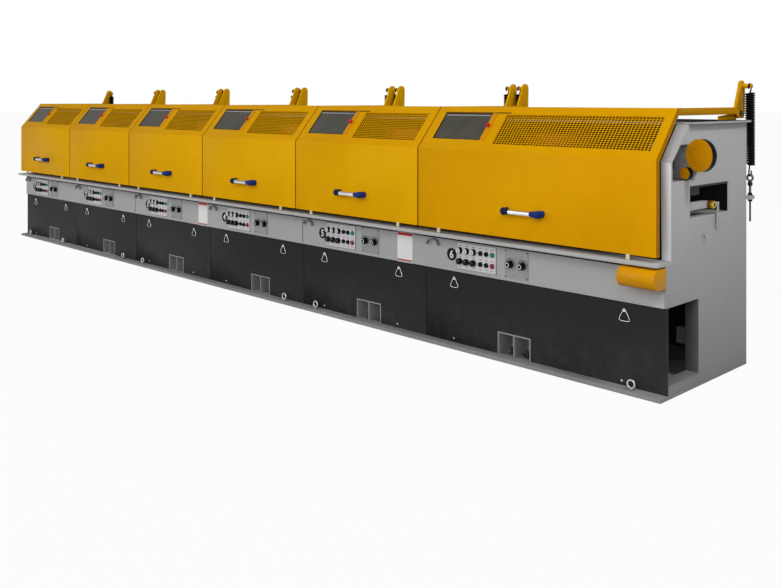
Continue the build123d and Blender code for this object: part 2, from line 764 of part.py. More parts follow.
    # The bar handle on the front, and the knob on the sliding window's stile
    with BuildPart() as handle:
        handle_x = (left_of(n) + right_of(n)) / 2
        bar_y = GUARD_Y - HANDLE_OUT
        with BuildSketch(profile_plane(handle_x - HANDLE_L / 2)):
            with Locations((bar_y, HANDLE_Z)):
                RegularPolygon(HANDLE_R, 12)
        extrude(amount=HANDLE_L)
        for side in (-1, 1):
            foot_x = handle_x + side * (HANDLE_L - HANDLE_END_L) / 2
            with BuildSketch(front_plane(foot_x, GUARD_Y - SEAT, HANDLE_Z)) as foot:
                Rectangle(HANDLE_END_L, 2 * HANDLE_END_R)
                chamfer(foot.vertices(), length=HANDLE_END_R / 3)
            extrude(amount=HANDLE_OUT + HANDLE_END_R / 2)
        with BuildSketch(slope_plane(stile_x, WINDOW_UP + WINDOW_H / 2, STILE_T + SEAT)):
            RegularPolygon(KNOB_R, 10)
        extrude(amount=KNOB_L)
    handle.part.label = f"handle_{n}"
    export_step(handle.part, f"parts/handle_{n}.step")

    # The two counterbalance springs, drawn as the tubes that their coils fill
    with BuildPart() as springs:
        for arm_x, side in guard_arms(n):
            x = spring_x(arm_x, side)
            with BuildSketch(Plane.XY.offset(SPRING_BOTTOM)):
                with Locations((x, PIN_Y)):
                    RegularPolygon(SPRING_R, 12)
            extrude(amount=SPRING_TOP - SPRING_BOTTOM)
            top_ring = GROOVE_R + SEAT
            link_z = EYE_Z + 2 * LINK_R - 2 * HOOK_R - SEAT
            rings = ((PIN_Z, top_ring, SPRING_TOP), (link_z, LINK_R - HOOK_R, SPRING_BOTTOM))
            for ring_z, inner, end_z in rings:
                with BuildSketch(profile_plane(x - HOOK_R)):
                    with Locations((PIN_Y, ring_z)):
                        eye_ring(inner + HOOK_R)
                extrude(amount=2 * HOOK_R)
                toward = 1 if end_z > ring_z else -1
                start_z = ring_z + toward * (inner + HOOK_R)
                with BuildSketch(Plane.XY.offset(min(start_z, end_z))):
                    with Locations((x, PIN_Y)):
                        Rectangle(2 * HOOK_R, 2 * HOOK_R)
                extrude(amount=abs(end_z - start_z))
    springs.part.label = f"springs_{n}"
    export_step(springs.part, f"parts/springs_{n}.step")

# Spring anchors on the rear panels: a lug with a round end and a hole for the adjuster's rod
spring_places = [spring_x(arm_x, side) for arm_x, side in all_arms()]
rod_places = [(x, PIN_Y) for x in spring_places]
with BuildPart() as spring_anchors:
    with BuildSketch(Plane.XY.offset(BRACKET_Z)):
        with Locations(*[(x, (Y_BACK + PIN_Y) / 2) for x in spring_places]):
            Rectangle(BRACKET_W, PIN_Y - Y_BACK)
        with Locations(*rod_places):
            RegularPolygon(BRACKET_W / 2, 8, major_radius=False, rotation=180 / 8)
            RegularPolygon(ROD_R + SEAT, 6, mode=Mode.SUBTRACT)
    extrude(amount=-BRACKET_T)
spring_anchors.part.label = "spring_anchors"
export_step(spring_anchors.part, "parts/spring_anchors.step")

# Adjusters: a threaded rod with an eye on top and a nut on each side of its anchor
with BuildPart() as spring_adjusters:
    with BuildSketch(Plane.XY.offset(ROD_BOTTOM)):
        with Locations(*rod_places):
            RegularPolygon(ROD_R, 6)
    extrude(amount=EYE_Z - LINK_R - ROD_BOTTOM)
    nut_bottoms = (
        BRACKET_Z - BRACKET_T - SEAT - NUT_H,
        BRACKET_Z + SEAT,
        EYE_Z - LINK_R - HOOK_R - NUT_H,
    )
    with BuildSketch(*[Plane.XY.offset(z) for z in nut_bottoms]):
        with Locations(*rod_places):
            RegularPolygon(NUT_R, 6)
    extrude(amount=NUT_H)
    with BuildSketch(front_plane(0, PIN_Y - HOOK_R, EYE_Z)):
        with Locations(*[(x, 0) for x in spring_places]):
            eye_ring(LINK_R)
    extrude(amount=-2 * HOOK_R)
spring_adjusters.part.label = "spring_adjusters"
export_step(spring_adjusters.part, "parts/spring_adjusters.step")


def guide_plane(out=0.0, along=0.0, z=0.0):
    """A plane facing the guide pulleys' faces, turned from the front about Z."""
    turn = radians(GUIDE_TURN)
    return Plane(
        origin=(
            X_NEAR + along * cos(turn) - out * sin(turn),
            Y_FRONT + GUIDE_IN - along * sin(turn) - out * cos(turn),
            z,
        ),
        x_dir=(cos(turn), -sin(turn), 0),
        z_dir=(-sin(turn), -cos(turn), 0),
    )


# Plate through the end wall's cut-out that carries the two guide pulleys
GUIDE_T = 10.0
GUIDE_CLEAR = 2.0
GUIDE_LOW = CUT_LOW_Z + GUIDE_CLEAR
GUIDE_HIGH = CUT_HIGH_Z - GUIDE_CLEAR
GUIDE_INSIDE = 300.0
GUIDE_OUTSIDE = 140.0
GUIDE_FOOT = 130.0
GUIDE_GAP = 3.0
SLOT_ALONG = 114.0
SLOT_Z = 1354.0
SLOT_W = 12.0
SLOT_H = 58.0
BLIND = 6.0
with BuildPart() as guide_bracket:
    with BuildSketch(guide_plane()):
        with BuildLine():
            Polyline(
                (-GUIDE_INSIDE, GUIDE_LOW),
                (ROLLER_OUT + ROLLER_R - GUIDE_T, GUIDE_LOW),
                (PULLEY_OUT - PULLEY_R / 2, PULLEY_Z - PULLEY_R + AXLE_R),
                (GUIDE_OUTSIDE, PULLEY_Z - PULLEY_R / 2),
                (GUIDE_OUTSIDE, GUIDE_HIGH),
                (-GUIDE_INSIDE, GUIDE_HIGH),
                close=True,
            )
        make_face()
        with Locations((-SLOT_ALONG, SLOT_Z)):
            Rectangle(SLOT_W, SLOT_H, mode=Mode.SUBTRACT)
    extrude(amount=-GUIDE_T)
    with BuildSketch(profile_plane(X_NEAR - WALL_T - SEAT)):
        with Locations((Y_FRONT + GUIDE_IN + GUIDE_T + GUIDE_FOOT / 2, (GUIDE_LOW + GUIDE_HIGH) / 2)):
            Rectangle(GUIDE_FOOT, GUIDE_HIGH - GUIDE_LOW)
    extrude(amount=-GUIDE_T)
    for along, z, thick in ((PULLEY_OUT, PULLEY_Z, PULLEY_T), (ROLLER_OUT, ROLLER_Z, ROLLER_T)):
        with BuildSketch(guide_plane(0, along, z)):
            Circle(AXLE_R)
        extrude(amount=GUIDE_GAP + thick - BLIND - SEAT)
        with BuildSketch(guide_plane(0, along, z)):
            RegularPolygon(2 * AXLE_R, 12)
        extrude(amount=GUIDE_GAP - SEAT)
guide_bracket.part.label = "guide_bracket"
export_step(guide_bracket.part, "parts/guide_bracket.step")

# Guide pulleys, each with a grooved rim and a blind bore from behind
GROOVE_DEPTH = 9.0
for name, radius, thick, along, z, flats in (
    ("guide_pulley", PULLEY_R, PULLEY_T, PULLEY_OUT, PULLEY_Z, 36),
    ("guide_roller", ROLLER_R, ROLLER_T, ROLLER_OUT, ROLLER_Z, 20),
):
    with BuildPart() as wheel:
        with BuildSketch(guide_plane(GUIDE_GAP, along, z)):
            RegularPolygon(radius, flats)
        extrude(amount=thick)
        with BuildSketch(guide_plane(GUIDE_GAP + thick / 2 - GROOVE_DEPTH / 2, along, z)):
            RegularPolygon(radius + SEAT, flats)
            RegularPolygon(radius - GROOVE_DEPTH / 2, flats, mode=Mode.SUBTRACT)
        extrude(amount=GROOVE_DEPTH, mode=Mode.SUBTRACT)
        with BuildSketch(guide_plane(GUIDE_GAP, along, z)):
            Circle(AXLE_R + RUNNING)
        extrude(amount=thick - BLIND, mode=Mode.SUBTRACT)
    wheel.part.label = name
    export_step(wheel.part, f"parts/{name}.step")

# Outlet guide behind the wire opening: an arm, a nozzle and a hanging strip
ARM_LOW_IN = 300.0
NOZZLE_IN = 615.0
OUTLET_ARM_W = 40.0
OUTLET_ARM_H = 44.0
NOZZLE_R = 22.0
NOZZLE_BORE = 6.0
NOZZLE_OUT = 28.0
STRIP_IN = 700.0
STRIP_W = 26.0
STRIP_T = 4.0
STRIP_DROP = 150.0
with BuildPart() as outlet_guide:
    arm_x = X_NEAR - WALL_T - SEAT
    with BuildSketch(profile_plane(arm_x)):
        with Locations((Y_FRONT + (ARM_LOW_IN + NOZZLE_IN) / 2, WIRE_Z)):
            Rectangle(NOZZLE_IN - ARM_LOW_IN, OUTLET_ARM_H)
    extrude(amount=-OUTLET_ARM_W)
    with BuildSketch(profile_plane(arm_x - OUTLET_ARM_W)):
        with Locations((Y_FRONT + NOZZLE_IN, WIRE_Z)):
            RegularPolygon(NOZZLE_R, 16)
    extrude(amount=OUTLET_ARM_W + WALL_T + NOZZLE_OUT)
    strip_x = X_NEAR + NOZZLE_OUT / 2
    with BuildSketch(profile_plane(strip_x)):
        with BuildLine():
            Polyline(
                (Y_FRONT + NOZZLE_IN, WIRE_Z - STRIP_W / 2),
                (Y_FRONT + NOZZLE_IN, WIRE_Z + STRIP_W / 2),
                (Y_FRONT + STRIP_IN, WIRE_Z + STRIP_W / 2),
                (Y_FRONT + STRIP_IN, WIRE_Z - STRIP_DROP),
                (Y_FRONT + STRIP_IN - STRIP_W, WIRE_Z - STRIP_DROP),
                (Y_FRONT + STRIP_IN - STRIP_W, WIRE_Z - STRIP_W / 2),
                close=True,
            )
        make_face()
    extrude(amount=STRIP_T)
    with BuildSketch(profile_plane(arm_x - OUTLET_ARM_W)):
        with Locations((Y_FRONT + NOZZLE_IN, WIRE_Z)):
            Circle(NOZZLE_BORE)
    extrude(amount=OUTLET_ARM_W + WALL_T + NOZZLE_OUT, mode=Mode.SUBTRACT)
outlet_guide.part.label = "outlet_guide"
export_step(outlet_guide.part, "parts/outlet_guide.step")

# Yellow roller cover on the control band at the outlet end
COVER_L = 290.0
COVER_Z = 712.0
COVER_R = 60.0
COVER_OUT = 146.0
with BuildPart() as roller_cover:
    with BuildSketch(profile_plane(X_NEAR - WALL_T)):
        with Locations((BAND_Y - SEAT - (COVER_OUT - COVER_R) / 2, COVER_Z)):
            Rectangle(COVER_OUT - COVER_R, 2 * COVER_R)
        with Locations((BAND_Y - SEAT - (COVER_OUT - COVER_R), COVER_Z)):
            Circle(COVER_R)
    extrude(amount=-COVER_L)
roller_cover.part.label = "roller_cover"
export_step(roller_cover.part, "parts/roller_cover.step")

# Switch plate and regulator plate of each module
SWITCH_LOW = 314.0
SWITCH_W = 356.0
REGULATOR_LOW = 742.0
REGULATOR_W = 194.0
PLATE_Z = 652.0
PLATE_H = 190.0
PLATE_T = 4.0
with BuildPart() as control_plates:
    with BuildSketch(front_plane(0, BAND_Y - SEAT, PLATE_Z)):
        for inset, width in ((SWITCH_LOW, SWITCH_W), (REGULATOR_LOW, REGULATOR_W)):
            with Locations(*[(left_of(n) + inset + width / 2, 0) for n in NUMBERS]):
                Rectangle(width, PLATE_H)
    extrude(amount=PLATE_T)
control_plates.part.label = "control_plates"
export_step(control_plates.part, "parts/control_plates.step")

# Knobs, buttons and regulators on the plates
SELECTOR_X = (344.0, 406.0, 468.0)
LAMP_X = (532.0, 584.0)
BUTTON_X = 635.0
REGULATOR_X = (788.0, 890.0)
ROW_UP = 38.0
SELECTOR_R = 22.0
LAMP_R = 15.0
BUTTON_R = 17.0
REGULATOR_R = 20.0
SELECTOR_L = 22.0
LAMP_L = 10.0
REGULATOR_L = 34.0
with BuildPart() as control_knobs:
    face_y = BAND_Y - 2 * SEAT - PLATE_T
    kinds = (
        (SELECTOR_X, (ROW_UP, -ROW_UP), SELECTOR_R, SELECTOR_L),
        (LAMP_X, (ROW_UP, -ROW_UP), LAMP_R, LAMP_L),
        ((BUTTON_X,), (ROW_UP, -ROW_UP), BUTTON_R, LAMP_L),
        (REGULATOR_X, (0,), REGULATOR_R, REGULATOR_L),
    )
    for insets, rows, radius, length in kinds:
        with BuildSketch(front_plane(0, face_y, PLATE_Z)):
            with Locations(*[(left_of(n) + x, z) for n in NUMBERS for x in insets for z in rows]):
                RegularPolygon(radius, 8)
        extrude(amount=length)
control_knobs.part.label = "control_knobs"
export_step(control_knobs.part, "parts/control_knobs.step")

# Drawing blocks on the deck, each a stand, a flanged winding drum and a capped upper drum
FLANGE_T = 18.0
DRUM_R = 250.0
DRUM_TAPER = 8.0
UPPER_R = 205.0
CAP_R = 225.0
DRUM_LOW = 1010.0
UPPER_LOW = DRUM_LOW + FLANGE_T + BLOCK_H
BLOCK_SIDES = 20
block_places = [(drive_of(n), DRIVE_Y) for n in NUMBERS]
block_steps = (
    (DECK_TOP, DRUM_LOW, BLOCK_BASE_R, 0),
    (DRUM_LOW, DRUM_LOW + FLANGE_T, BLOCK_R, 0),
    (DRUM_LOW + FLANGE_T, UPPER_LOW, DRUM_R + DRUM_TAPER, degrees(atan2(DRUM_TAPER, BLOCK_H))),
    (UPPER_LOW, CAP_TOP - 2 * FLANGE_T, UPPER_R, 0),
    (CAP_TOP - 2 * FLANGE_T, CAP_TOP - FLANGE_T, CAP_R, 0),
    (CAP_TOP - FLANGE_T, CAP_TOP, CAP_R, 45),
)
with BuildPart() as drawing_blocks:
    for bottom, top, radius, lean in block_steps:
        with BuildSketch(Plane.XY.offset(bottom)):
            with Locations(*block_places):
                RegularPolygon(radius, BLOCK_SIDES)
        extrude(amount=top - bottom, taper=lean)
drawing_blocks.part.label = "drawing_blocks"
export_step(drawing_blocks.part, "parts/drawing_blocks.step")

# Die boxes on posts before the blocks, each a soap trough with its die holder
DIE_INSET = 300.0
DIE_IN = 378.0
DIE_L = 240.0
DIE_W = 150.0
DIE_H = 130.0
DIE_WALL = 8.0
DIE_POST = 90.0
die_places = [(left_of(n) + DIE_INSET, Y_FRONT + DIE_IN) for n in NUMBERS]
with BuildPart() as die_boxes:
    with BuildSketch(Plane.XY.offset(WIRE_Z - DIE_H / 2)):
        with Locations(*die_places):
            Rectangle(DIE_L, DIE_W)
    extrude(amount=DIE_H)
    with BuildSketch(Plane.XY.offset(WIRE_Z - DIE_H / 2 + DIE_WALL)):
        with Locations(*[(x - DIE_L / 8, y) for x, y in die_places]):
            Rectangle(DIE_L * 3 / 4 - 2 * DIE_WALL, DIE_W - 2 * DIE_WALL)
    extrude(amount=DIE_H, mode=Mode.SUBTRACT)
    with BuildSketch(Plane.XY.offset(DECK_TOP)):
        with Locations(*die_places):
            Rectangle(DIE_POST, DIE_POST)
    extrude(amount=WIRE_Z - DIE_H / 2 - DECK_TOP)
die_boxes.part.label = "die_boxes"
export_step(die_boxes.part, "parts/die_boxes.step")

# Small junction box on the rear panel, seen through the service opening
JUNCTION_INSET = 420.0
JUNCTION_Z = 120.0
JUNCTION_W = 90.0
JUNCTION_H = 110.0
JUNCTION_D = 60.0
with BuildPart() as junction_box:
    with BuildSketch(front_plane(X_NEAR - JUNCTION_INSET, REAR_Y - SEAT, JUNCTION_Z)):
        Rectangle(JUNCTION_W, JUNCTION_H)
    extrude(amount=JUNCTION_D)
junction_box.part.label = "junction_box"
export_step(junction_box.part, "parts/junction_box.step")
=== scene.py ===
"""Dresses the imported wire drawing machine: its paint, springs, mesh, handles, controls and outlet end.

Every size is in metres in the frame of the solids: +X runs along the row to the outlet end,
the operator stands at -Y, +Z is up and the floor is at Z 0.
"""

from __future__ import annotations

import json
import logging
import math
from dataclasses import dataclass, field, replace
from enum import Enum
from functools import partial
from typing import Callable, Iterable, Sequence

import bmesh
import bpy
import numpy as np
from mathutils import Matrix, Vector

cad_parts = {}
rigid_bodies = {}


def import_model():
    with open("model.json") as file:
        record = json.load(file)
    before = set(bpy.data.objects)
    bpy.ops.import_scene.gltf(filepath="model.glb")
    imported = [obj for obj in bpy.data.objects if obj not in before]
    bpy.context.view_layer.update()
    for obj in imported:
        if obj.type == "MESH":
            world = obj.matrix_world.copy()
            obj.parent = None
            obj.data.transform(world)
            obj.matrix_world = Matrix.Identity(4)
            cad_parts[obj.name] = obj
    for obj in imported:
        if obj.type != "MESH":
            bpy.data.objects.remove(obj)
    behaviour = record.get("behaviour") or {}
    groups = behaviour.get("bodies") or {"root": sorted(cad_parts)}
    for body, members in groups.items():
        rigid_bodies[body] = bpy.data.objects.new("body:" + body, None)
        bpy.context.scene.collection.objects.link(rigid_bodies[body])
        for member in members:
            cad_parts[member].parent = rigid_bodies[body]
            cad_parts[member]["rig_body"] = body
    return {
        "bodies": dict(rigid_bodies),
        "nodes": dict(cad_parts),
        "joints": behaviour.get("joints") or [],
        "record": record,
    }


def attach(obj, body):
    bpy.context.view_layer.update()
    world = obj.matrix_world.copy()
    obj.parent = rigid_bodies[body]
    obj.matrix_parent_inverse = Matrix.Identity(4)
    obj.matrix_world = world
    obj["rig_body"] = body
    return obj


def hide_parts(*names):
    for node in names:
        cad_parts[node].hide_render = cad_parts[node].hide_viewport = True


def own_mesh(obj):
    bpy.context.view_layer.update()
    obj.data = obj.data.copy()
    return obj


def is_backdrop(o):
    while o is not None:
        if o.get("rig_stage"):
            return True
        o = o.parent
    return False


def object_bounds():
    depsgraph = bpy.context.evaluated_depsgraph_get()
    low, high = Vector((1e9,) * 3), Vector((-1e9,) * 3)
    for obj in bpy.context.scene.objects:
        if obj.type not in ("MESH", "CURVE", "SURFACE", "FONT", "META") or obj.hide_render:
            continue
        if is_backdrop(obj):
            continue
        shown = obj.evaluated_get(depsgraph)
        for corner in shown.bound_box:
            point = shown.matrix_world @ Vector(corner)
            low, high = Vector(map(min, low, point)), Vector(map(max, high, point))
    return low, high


LOG = logging.getLogger("drawing_machine")

Colour = tuple[float, float, float]
Screen = tuple[int, int, int]
Point = tuple[float, float, float]
Span = tuple[float, float]
Places = tuple[float, ...]
Profile = Sequence[tuple[float, float]]

# How far a normal has to point one way for its face to count as flat to it, or as turned to it
FLAT_TO = 0.9
TURNED_TO = 0.5


def srgb(red: int, green: int, blue: int) -> Colour:
    """Turns a screen colour into linear light: ((c + 0.055) / 1.055) to the power 2.4, or c / 12.92.

    Args:
        red: Red from 0 to 255.
        green: Green from 0 to 255.
        blue: Blue from 0 to 255.

    Returns:
        The three linear values, from 0 to 1.
    """
    shares = np.array((red, green, blue), float) / 255.0
    linear = np.where(shares <= 0.04045, shares / 12.92, ((shares + 0.055) / 1.055) ** 2.4)
    return tuple(float(x) for x in linear)


@dataclass(frozen=True)
class Row:
    """The layout of the machine's row, as its solids have it."""

    modules: int = 6
    pitch: float = 1.425
    last_pitch: float = 1.925
    depth: float = 1.134
    base_top: float = 0.025
    deck_top: float = 0.806
    guard_bottom: float = 0.838
    guard_knee: float = 1.405
    guard_top: float = 1.702
    guard_lean: float = 0.253
    guard_in: float = -0.011
    band_in: float = 0.067
    panel_in: float = 0.080
    roof_in: float = 0.337
    roof_bottom: float = 1.603
    drive_in: float = 0.640
    pivot_in: float = 1.156
    pivot_z: float = 1.662
    drive_inset: float = 0.805
    arm_inset: float = 0.060
    arm_thick: float = 0.018
    pin_up: float = 0.182
    pin_back: float = 0.034
    groove_in: float = 0.050
    lengths_end: tuple[int, int] = (2, 4)

    @property
    def numbers(self) -> range:
        """The modules' numbers, from the inlet."""
        return range(1, self.modules + 1)

    @property
    def near(self) -> float:
        """The outlet end of the base along X."""
        return (self.pitch * (self.modules - 1) + self.last_pitch) / 2

    @property
    def far(self) -> float:
        """The inlet end of the base along X."""
        return -self.near

    @property
    def front(self) -> float:
        """The front edge of the base along Y."""
        return -self.depth / 2

    @property
    def guard_y(self) -> float:
        """The front face of the guards."""
        return self.front + self.guard_in

    @property
    def band_y(self) -> float:
        """The front face of the control band."""
        return self.front + self.band_in

    @property
    def panel_y(self) -> float:
        """The front face of the lower panels."""
        return self.front + self.panel_in

    @property
    def roof_y(self) -> float:
        """The roof's front edge."""
        return self.front + self.roof_in

    @property
    def pivot_y(self) -> float:
        """The line that the guards' arms turn on."""
        return self.front + self.pivot_in

    @property
    def pin_y(self) -> float:
        """The line of the spring pins."""
        return self.pivot_y + self.pin_back

    @property
    def pin_z(self) -> float:
        """The height of the spring pins."""
        return self.pivot_z + self.pin_up

    def left(self, number: int) -> float:
        """The inlet side of a module."""
        return self.far + self.pitch * (number - 1)

    def right(self, number: int) -> float:
        """The outlet side of a module."""
        return self.near if number == self.modules else self.far + self.pitch * number

    def middle(self, number: int) -> float:
        """The middle of a module."""
        return (self.left(number) + self.right(number)) / 2

    def drive(self, number: int) -> float:
        """The middle of a module's drawing block."""
        return self.left(number) + self.drive_inset

    def arms(self, number: int) -> tuple[tuple[float, int], tuple[float, int]]:
        """A guard's two arms: the place of each and the side that its spring pin points to."""
        return (
            (self.left(number) + self.arm_inset, 1 if number == 1 else -1),
            (self.right(number) - self.arm_inset, 1 if number == self.modules else -1),
        )

    def spring_xs(self, number: int) -> list[float]:
        """The places of a guard's two springs along X."""
        reach = self.arm_thick / 2 + self.groove_in
        return [x + side * reach for x, side in self.arms(number)]

    def slope(self, x: float, up: float, out: float = 0.0) -> Matrix:
        """The frame on the guards' slope: local X along the row, Y up the slope and Z out of it.

        Args:
            x: The place along the row.
            up: The distance up the slope from the knee.
            out: The distance out of the sheet's face.

        Returns:
            The matrix that carries local points there.
        """
        rise = self.guard_top - self.guard_knee
        run = math.hypot(self.guard_lean, rise)
        along = Vector((0, self.guard_lean / run, rise / run))
        normal = Vector((0, -rise / run, self.guard_lean / run))
        place = Vector((x, self.guard_y, self.guard_knee)) + along * up + normal * out
        return framed(place, Vector((1, 0, 0)), along, normal)

    def front_face(self, x: float, y: float, z: float) -> Matrix:
        """The frame on a face towards the operator: local X along the row, Y up and Z out."""
        return framed(Vector((x, y, z)), Vector((1, 0, 0)), Vector((0, 0, 1)), Vector((0, -1, 0)))

    def end_face(self, x: float, y: float, z: float) -> Matrix:
        """The frame on a face towards the outlet: local X along +Y, Y up and Z out."""
        return framed(Vector((x, y, z)), Vector((0, 1, 0)), Vector((0, 0, 1)), Vector((1, 0, 0)))


def framed(place: Vector, across: Vector, up: Vector, out: Vector) -> Matrix:
    """Builds a matrix from a place and three unit directions.

    Args:
        place: Where the local origin goes.
        across: Where local X points.
        up: Where local Y points.
        out: Where local Z points.

    Returns:
        The matrix that carries local points there.
    """
    matrix = Matrix((across, up, out)).transposed().to_4x4()
    matrix.translation = place
    return matrix


def turned_by(matrix: Matrix, degrees: float) -> Matrix:
    """Turns a frame about its own Z."""
    return matrix @ Matrix.Rotation(math.radians(degrees), 4, "Z")


ROW = Row()


def carried(points: np.ndarray, matrix: Matrix) -> np.ndarray:
    """Carries an array of points by a matrix: P' = R P + t."""
    m = np.array(matrix, float)
    return points @ m[:3, :3].T + m[:3, 3]


def around(count: int) -> np.ndarray:
    """Gives that many even angles, once round a circle."""
    return np.linspace(0, 2 * np.pi, count, endpoint=False)


def oval(angle: np.ndarray, wide: float, high: float) -> np.ndarray:
    """The points of an oval, or of a circle where both sizes are the same: (a cos t, b sin t)."""
    return np.column_stack((wide * np.cos(angle), high * np.sin(angle)))


def raised(outline: np.ndarray, z: float) -> np.ndarray:
    """Puts a flat outline at a height: (x, y) becomes (x, y, z)."""
    return np.column_stack((outline, np.full(len(outline), z)))


def stationed(x: float, section: np.ndarray) -> np.ndarray:
    """Puts a section at a place along the row: (y, z) becomes (x, y, z)."""
    return np.column_stack((np.full(len(section), x), section))


def rounded(width: float, height: float, radius: float, steps: int = 4) -> np.ndarray:
    """The outline of a rectangle with round corners: corner centre + r (cos a, sin a) on each.

    Args:
        width: The size along local X.
        height: The size along local Y.
        radius: The corner radius.
        steps: The number of steps on each corner.

    Returns:
        The outline's points, of shape (n, 2).
    """
    quarter = np.linspace(0, np.pi / 2, steps + 1)
    turns = (np.arange(4)[:, None] * np.pi / 2 + quarter[None, :]).ravel()
    signs = np.repeat(np.array(((1, 1), (-1, 1), (-1, -1), (1, -1))), steps + 1, axis=0)
    centres = signs * (np.array((width, height)) / 2 - radius)
    return centres + oval(turns, radius, radius)


def smoothed(corners: np.ndarray, rounds: int = 3) -> np.ndarray:
    """Rounds a closed line by cutting each corner at a quarter of its sides, several times.

    Args:
        corners: The line's corners.
        rounds: How many times they are cut.

    Returns:
        The rounded line's points.
    """
    line = np.asarray(corners, float)
    for _ in range(rounds):
        after = np.roll(line, -1, axis=0)
        pair = (0.75 * line + 0.25 * after, 0.25 * line + 0.75 * after)
        line = np.stack(pair, axis=1).reshape(-1, line.shape[1])
    return line


@dataclass
class Shell:
    """Closed surfaces gathered as whole arrays, then put into one mesh."""

    points: list[np.ndarray] = field(default_factory=list)
    faces: list[tuple[int, ...]] = field(default_factory=list)
    slots: list[int] = field(default_factory=list)
    count: int = 0

    def add(self, points: np.ndarray, faces: Iterable[Sequence[int]], slot: int = 0) -> None:
        """Adds points and the faces between them.

        Args:
            points: An array of n points.
            faces: Index lists into those points.
            slot: The number of the material that the faces take.
        """
        shifted = [tuple(int(i) + self.count for i in face) for face in faces]
        self.points.append(np.asarray(points, float).reshape(-1, 3))
        self.faces.extend(shifted)
        self.slots.extend([slot] * len(shifted))
        self.count += len(self.points[-1])

    def surface(
        self, grid: np.ndarray, round_u: bool = False, round_v: bool = False, slot: int = 0,
        capped: bool = False,
    ) -> None:
        """Adds the surface P(u, v) given on a grid, each cell as one face.

        Args:
            grid: Points of shape (u, v, 3).
            round_u: Whether the last row joins the first.
            round_v: Whether the last column joins the first.
            slot: The number of the material.
            capped: Whether flat faces close the first and last rows.
        """
        rows, columns = grid.shape[:2]
        index = np.arange(rows * columns).reshape(rows, columns)
        u = index if not round_u else np.vstack((index, index[:1]))
        w = u if not round_v else np.hstack((u, u[:, :1]))
        cells = np.stack((w[:-1, :-1], w[:-1, 1:], w[1:, 1:], w[1:, :-1]), axis=-1).reshape(-1, 4)
        faces = cells.tolist()
        if capped:
            faces += [index[0, ::-1].tolist(), index[-1].tolist()]
        self.add(grid.reshape(-1, 3), faces, slot)

    def lathe(self, profile: Profile, matrix: Matrix, sides: int = 32, slot: int = 0) -> None:
        """Adds a turned piece: P(u, v) = (r(u) cos v, r(u) sin v, h(u)), closed flat at both ends.

        Args:
            profile: Pairs of radius and height.
            matrix: The frame whose Z is the axis.
            sides: The number of steps round the axis.
            slot: The number of the material.
        """
        radius, height = np.array(profile, float).T
        angle = around(sides)
        x = np.outer(radius, np.cos(angle))
        y = np.outer(radius, np.sin(angle))
        z = np.repeat(height[:, None], sides, axis=1)
        self.surface(carried(np.stack((x, y, z), axis=-1), matrix), round_v=True, slot=slot, capped=True)

    def tube(
        self, path: np.ndarray, radius: float | np.ndarray, sides: int = 10, closed: bool = False,
        slot: int = 0, squash: float | np.ndarray = 1.0, side: Point = (0, 0, 1),
    ) -> None:
        """Adds a tube: P(u, v) = C(u) + r(u) (N(u) cos v + k(u) B(u) sin v).

        Args:
            path: The centre line's points C.
            radius: One radius, or one a point.
            sides: The number of steps round the line.
            closed: Whether the line joins its start.
            slot: The number of the material.
            squash: The second half-axis as a share of the first, one number or one a point.
            side: A direction that is never along the line, from which B is worked out.
        """
        path = np.asarray(path, float)
        if closed:
            tangent = np.roll(path, -1, axis=0) - np.roll(path, 1, axis=0)
        else:
            tangent = np.gradient(path, axis=0)
        tangent /= np.linalg.norm(tangent, axis=1)[:, None]
        normal = np.cross(np.broadcast_to(np.array(side, float), path.shape), tangent)
        normal /= np.linalg.norm(normal, axis=1)[:, None]
        second = np.cross(tangent, normal)
        cosine, sine = (turn(around(sides))[None, :, None] for turn in (np.cos, np.sin))
        r, k = (np.broadcast_to(np.asarray(v, float), (len(path),))[:, None, None] for v in (radius, squash))
        ring = normal[:, None] * cosine + k * second[:, None] * sine
        self.surface(path[:, None] + r * ring, round_u=closed, round_v=True, slot=slot, capped=not closed)

    def eye(self, centre: Point, wide: float, high: float, wire: float, steps: int, sides: int) -> None:
        """Adds a wire eye that stands along the row, a and b its half-axes: C + (a cos t, 0, b sin t)."""
        line = np.insert(oval(around(steps), wide, high), 1, 0.0, axis=1)
        self.tube(line + centre, wire, sides, closed=True, side=(0, 1, 0))

    def slab(self, outline: np.ndarray, low: float, high: float, matrix: Matrix, slot: int = 0) -> None:
        """Adds a flat plate: an outline of shape (n, 2) in a frame's X and Y, carried from Z low to high."""
        levels = np.stack([raised(outline, z) for z in (low, high)])
        self.surface(carried(levels, matrix), round_v=True, slot=slot, capped=True)

    def build(self, name: str, bend: float = 32.0, weld: bool = False) -> bpy.types.Object:
        """Puts the surfaces into one mesh with outward faces.

        Args:
            name: The piece's name.
            bend: The angle in degrees above which an edge stays sharp.
            weld: Whether points at one place are joined.

        Returns:
            The new object, at the origin.
        """
        mesh = bpy.data.meshes.new(name)
        mesh.from_pydata(np.vstack(self.points).tolist(), [], self.faces)
        mesh.polygons.foreach_set("material_index", np.array(self.slots, dtype=np.int32))
        work = bmesh.new()
        work.from_mesh(mesh)
        if weld:
            bmesh.ops.remove_doubles(work, verts=work.verts, dist=1e-6)
        bmesh.ops.recalc_face_normals(work, faces=work.faces)
        return shown(name, mesh, work, bend)


def shown(name: str, mesh: bpy.types.Mesh, work: bmesh.types.BMesh, bend: float) -> bpy.types.Object:
    """Puts worked faces back into their mesh, shades them and links an object with it.

    Args:
        name: The object's name.
        mesh: The mesh that takes the faces.
        work: The worked faces, which are freed.
        bend: The angle in degrees above which an edge stays sharp.

    Returns:
        The new object, at the origin.
    """
    work.to_mesh(mesh)
    work.free()
    mesh.polygons.foreach_set("use_smooth", np.ones(len(mesh.polygons), dtype=bool))
    mesh.set_sharp_from_angle(angle=math.radians(bend))
    return linked(name, mesh)


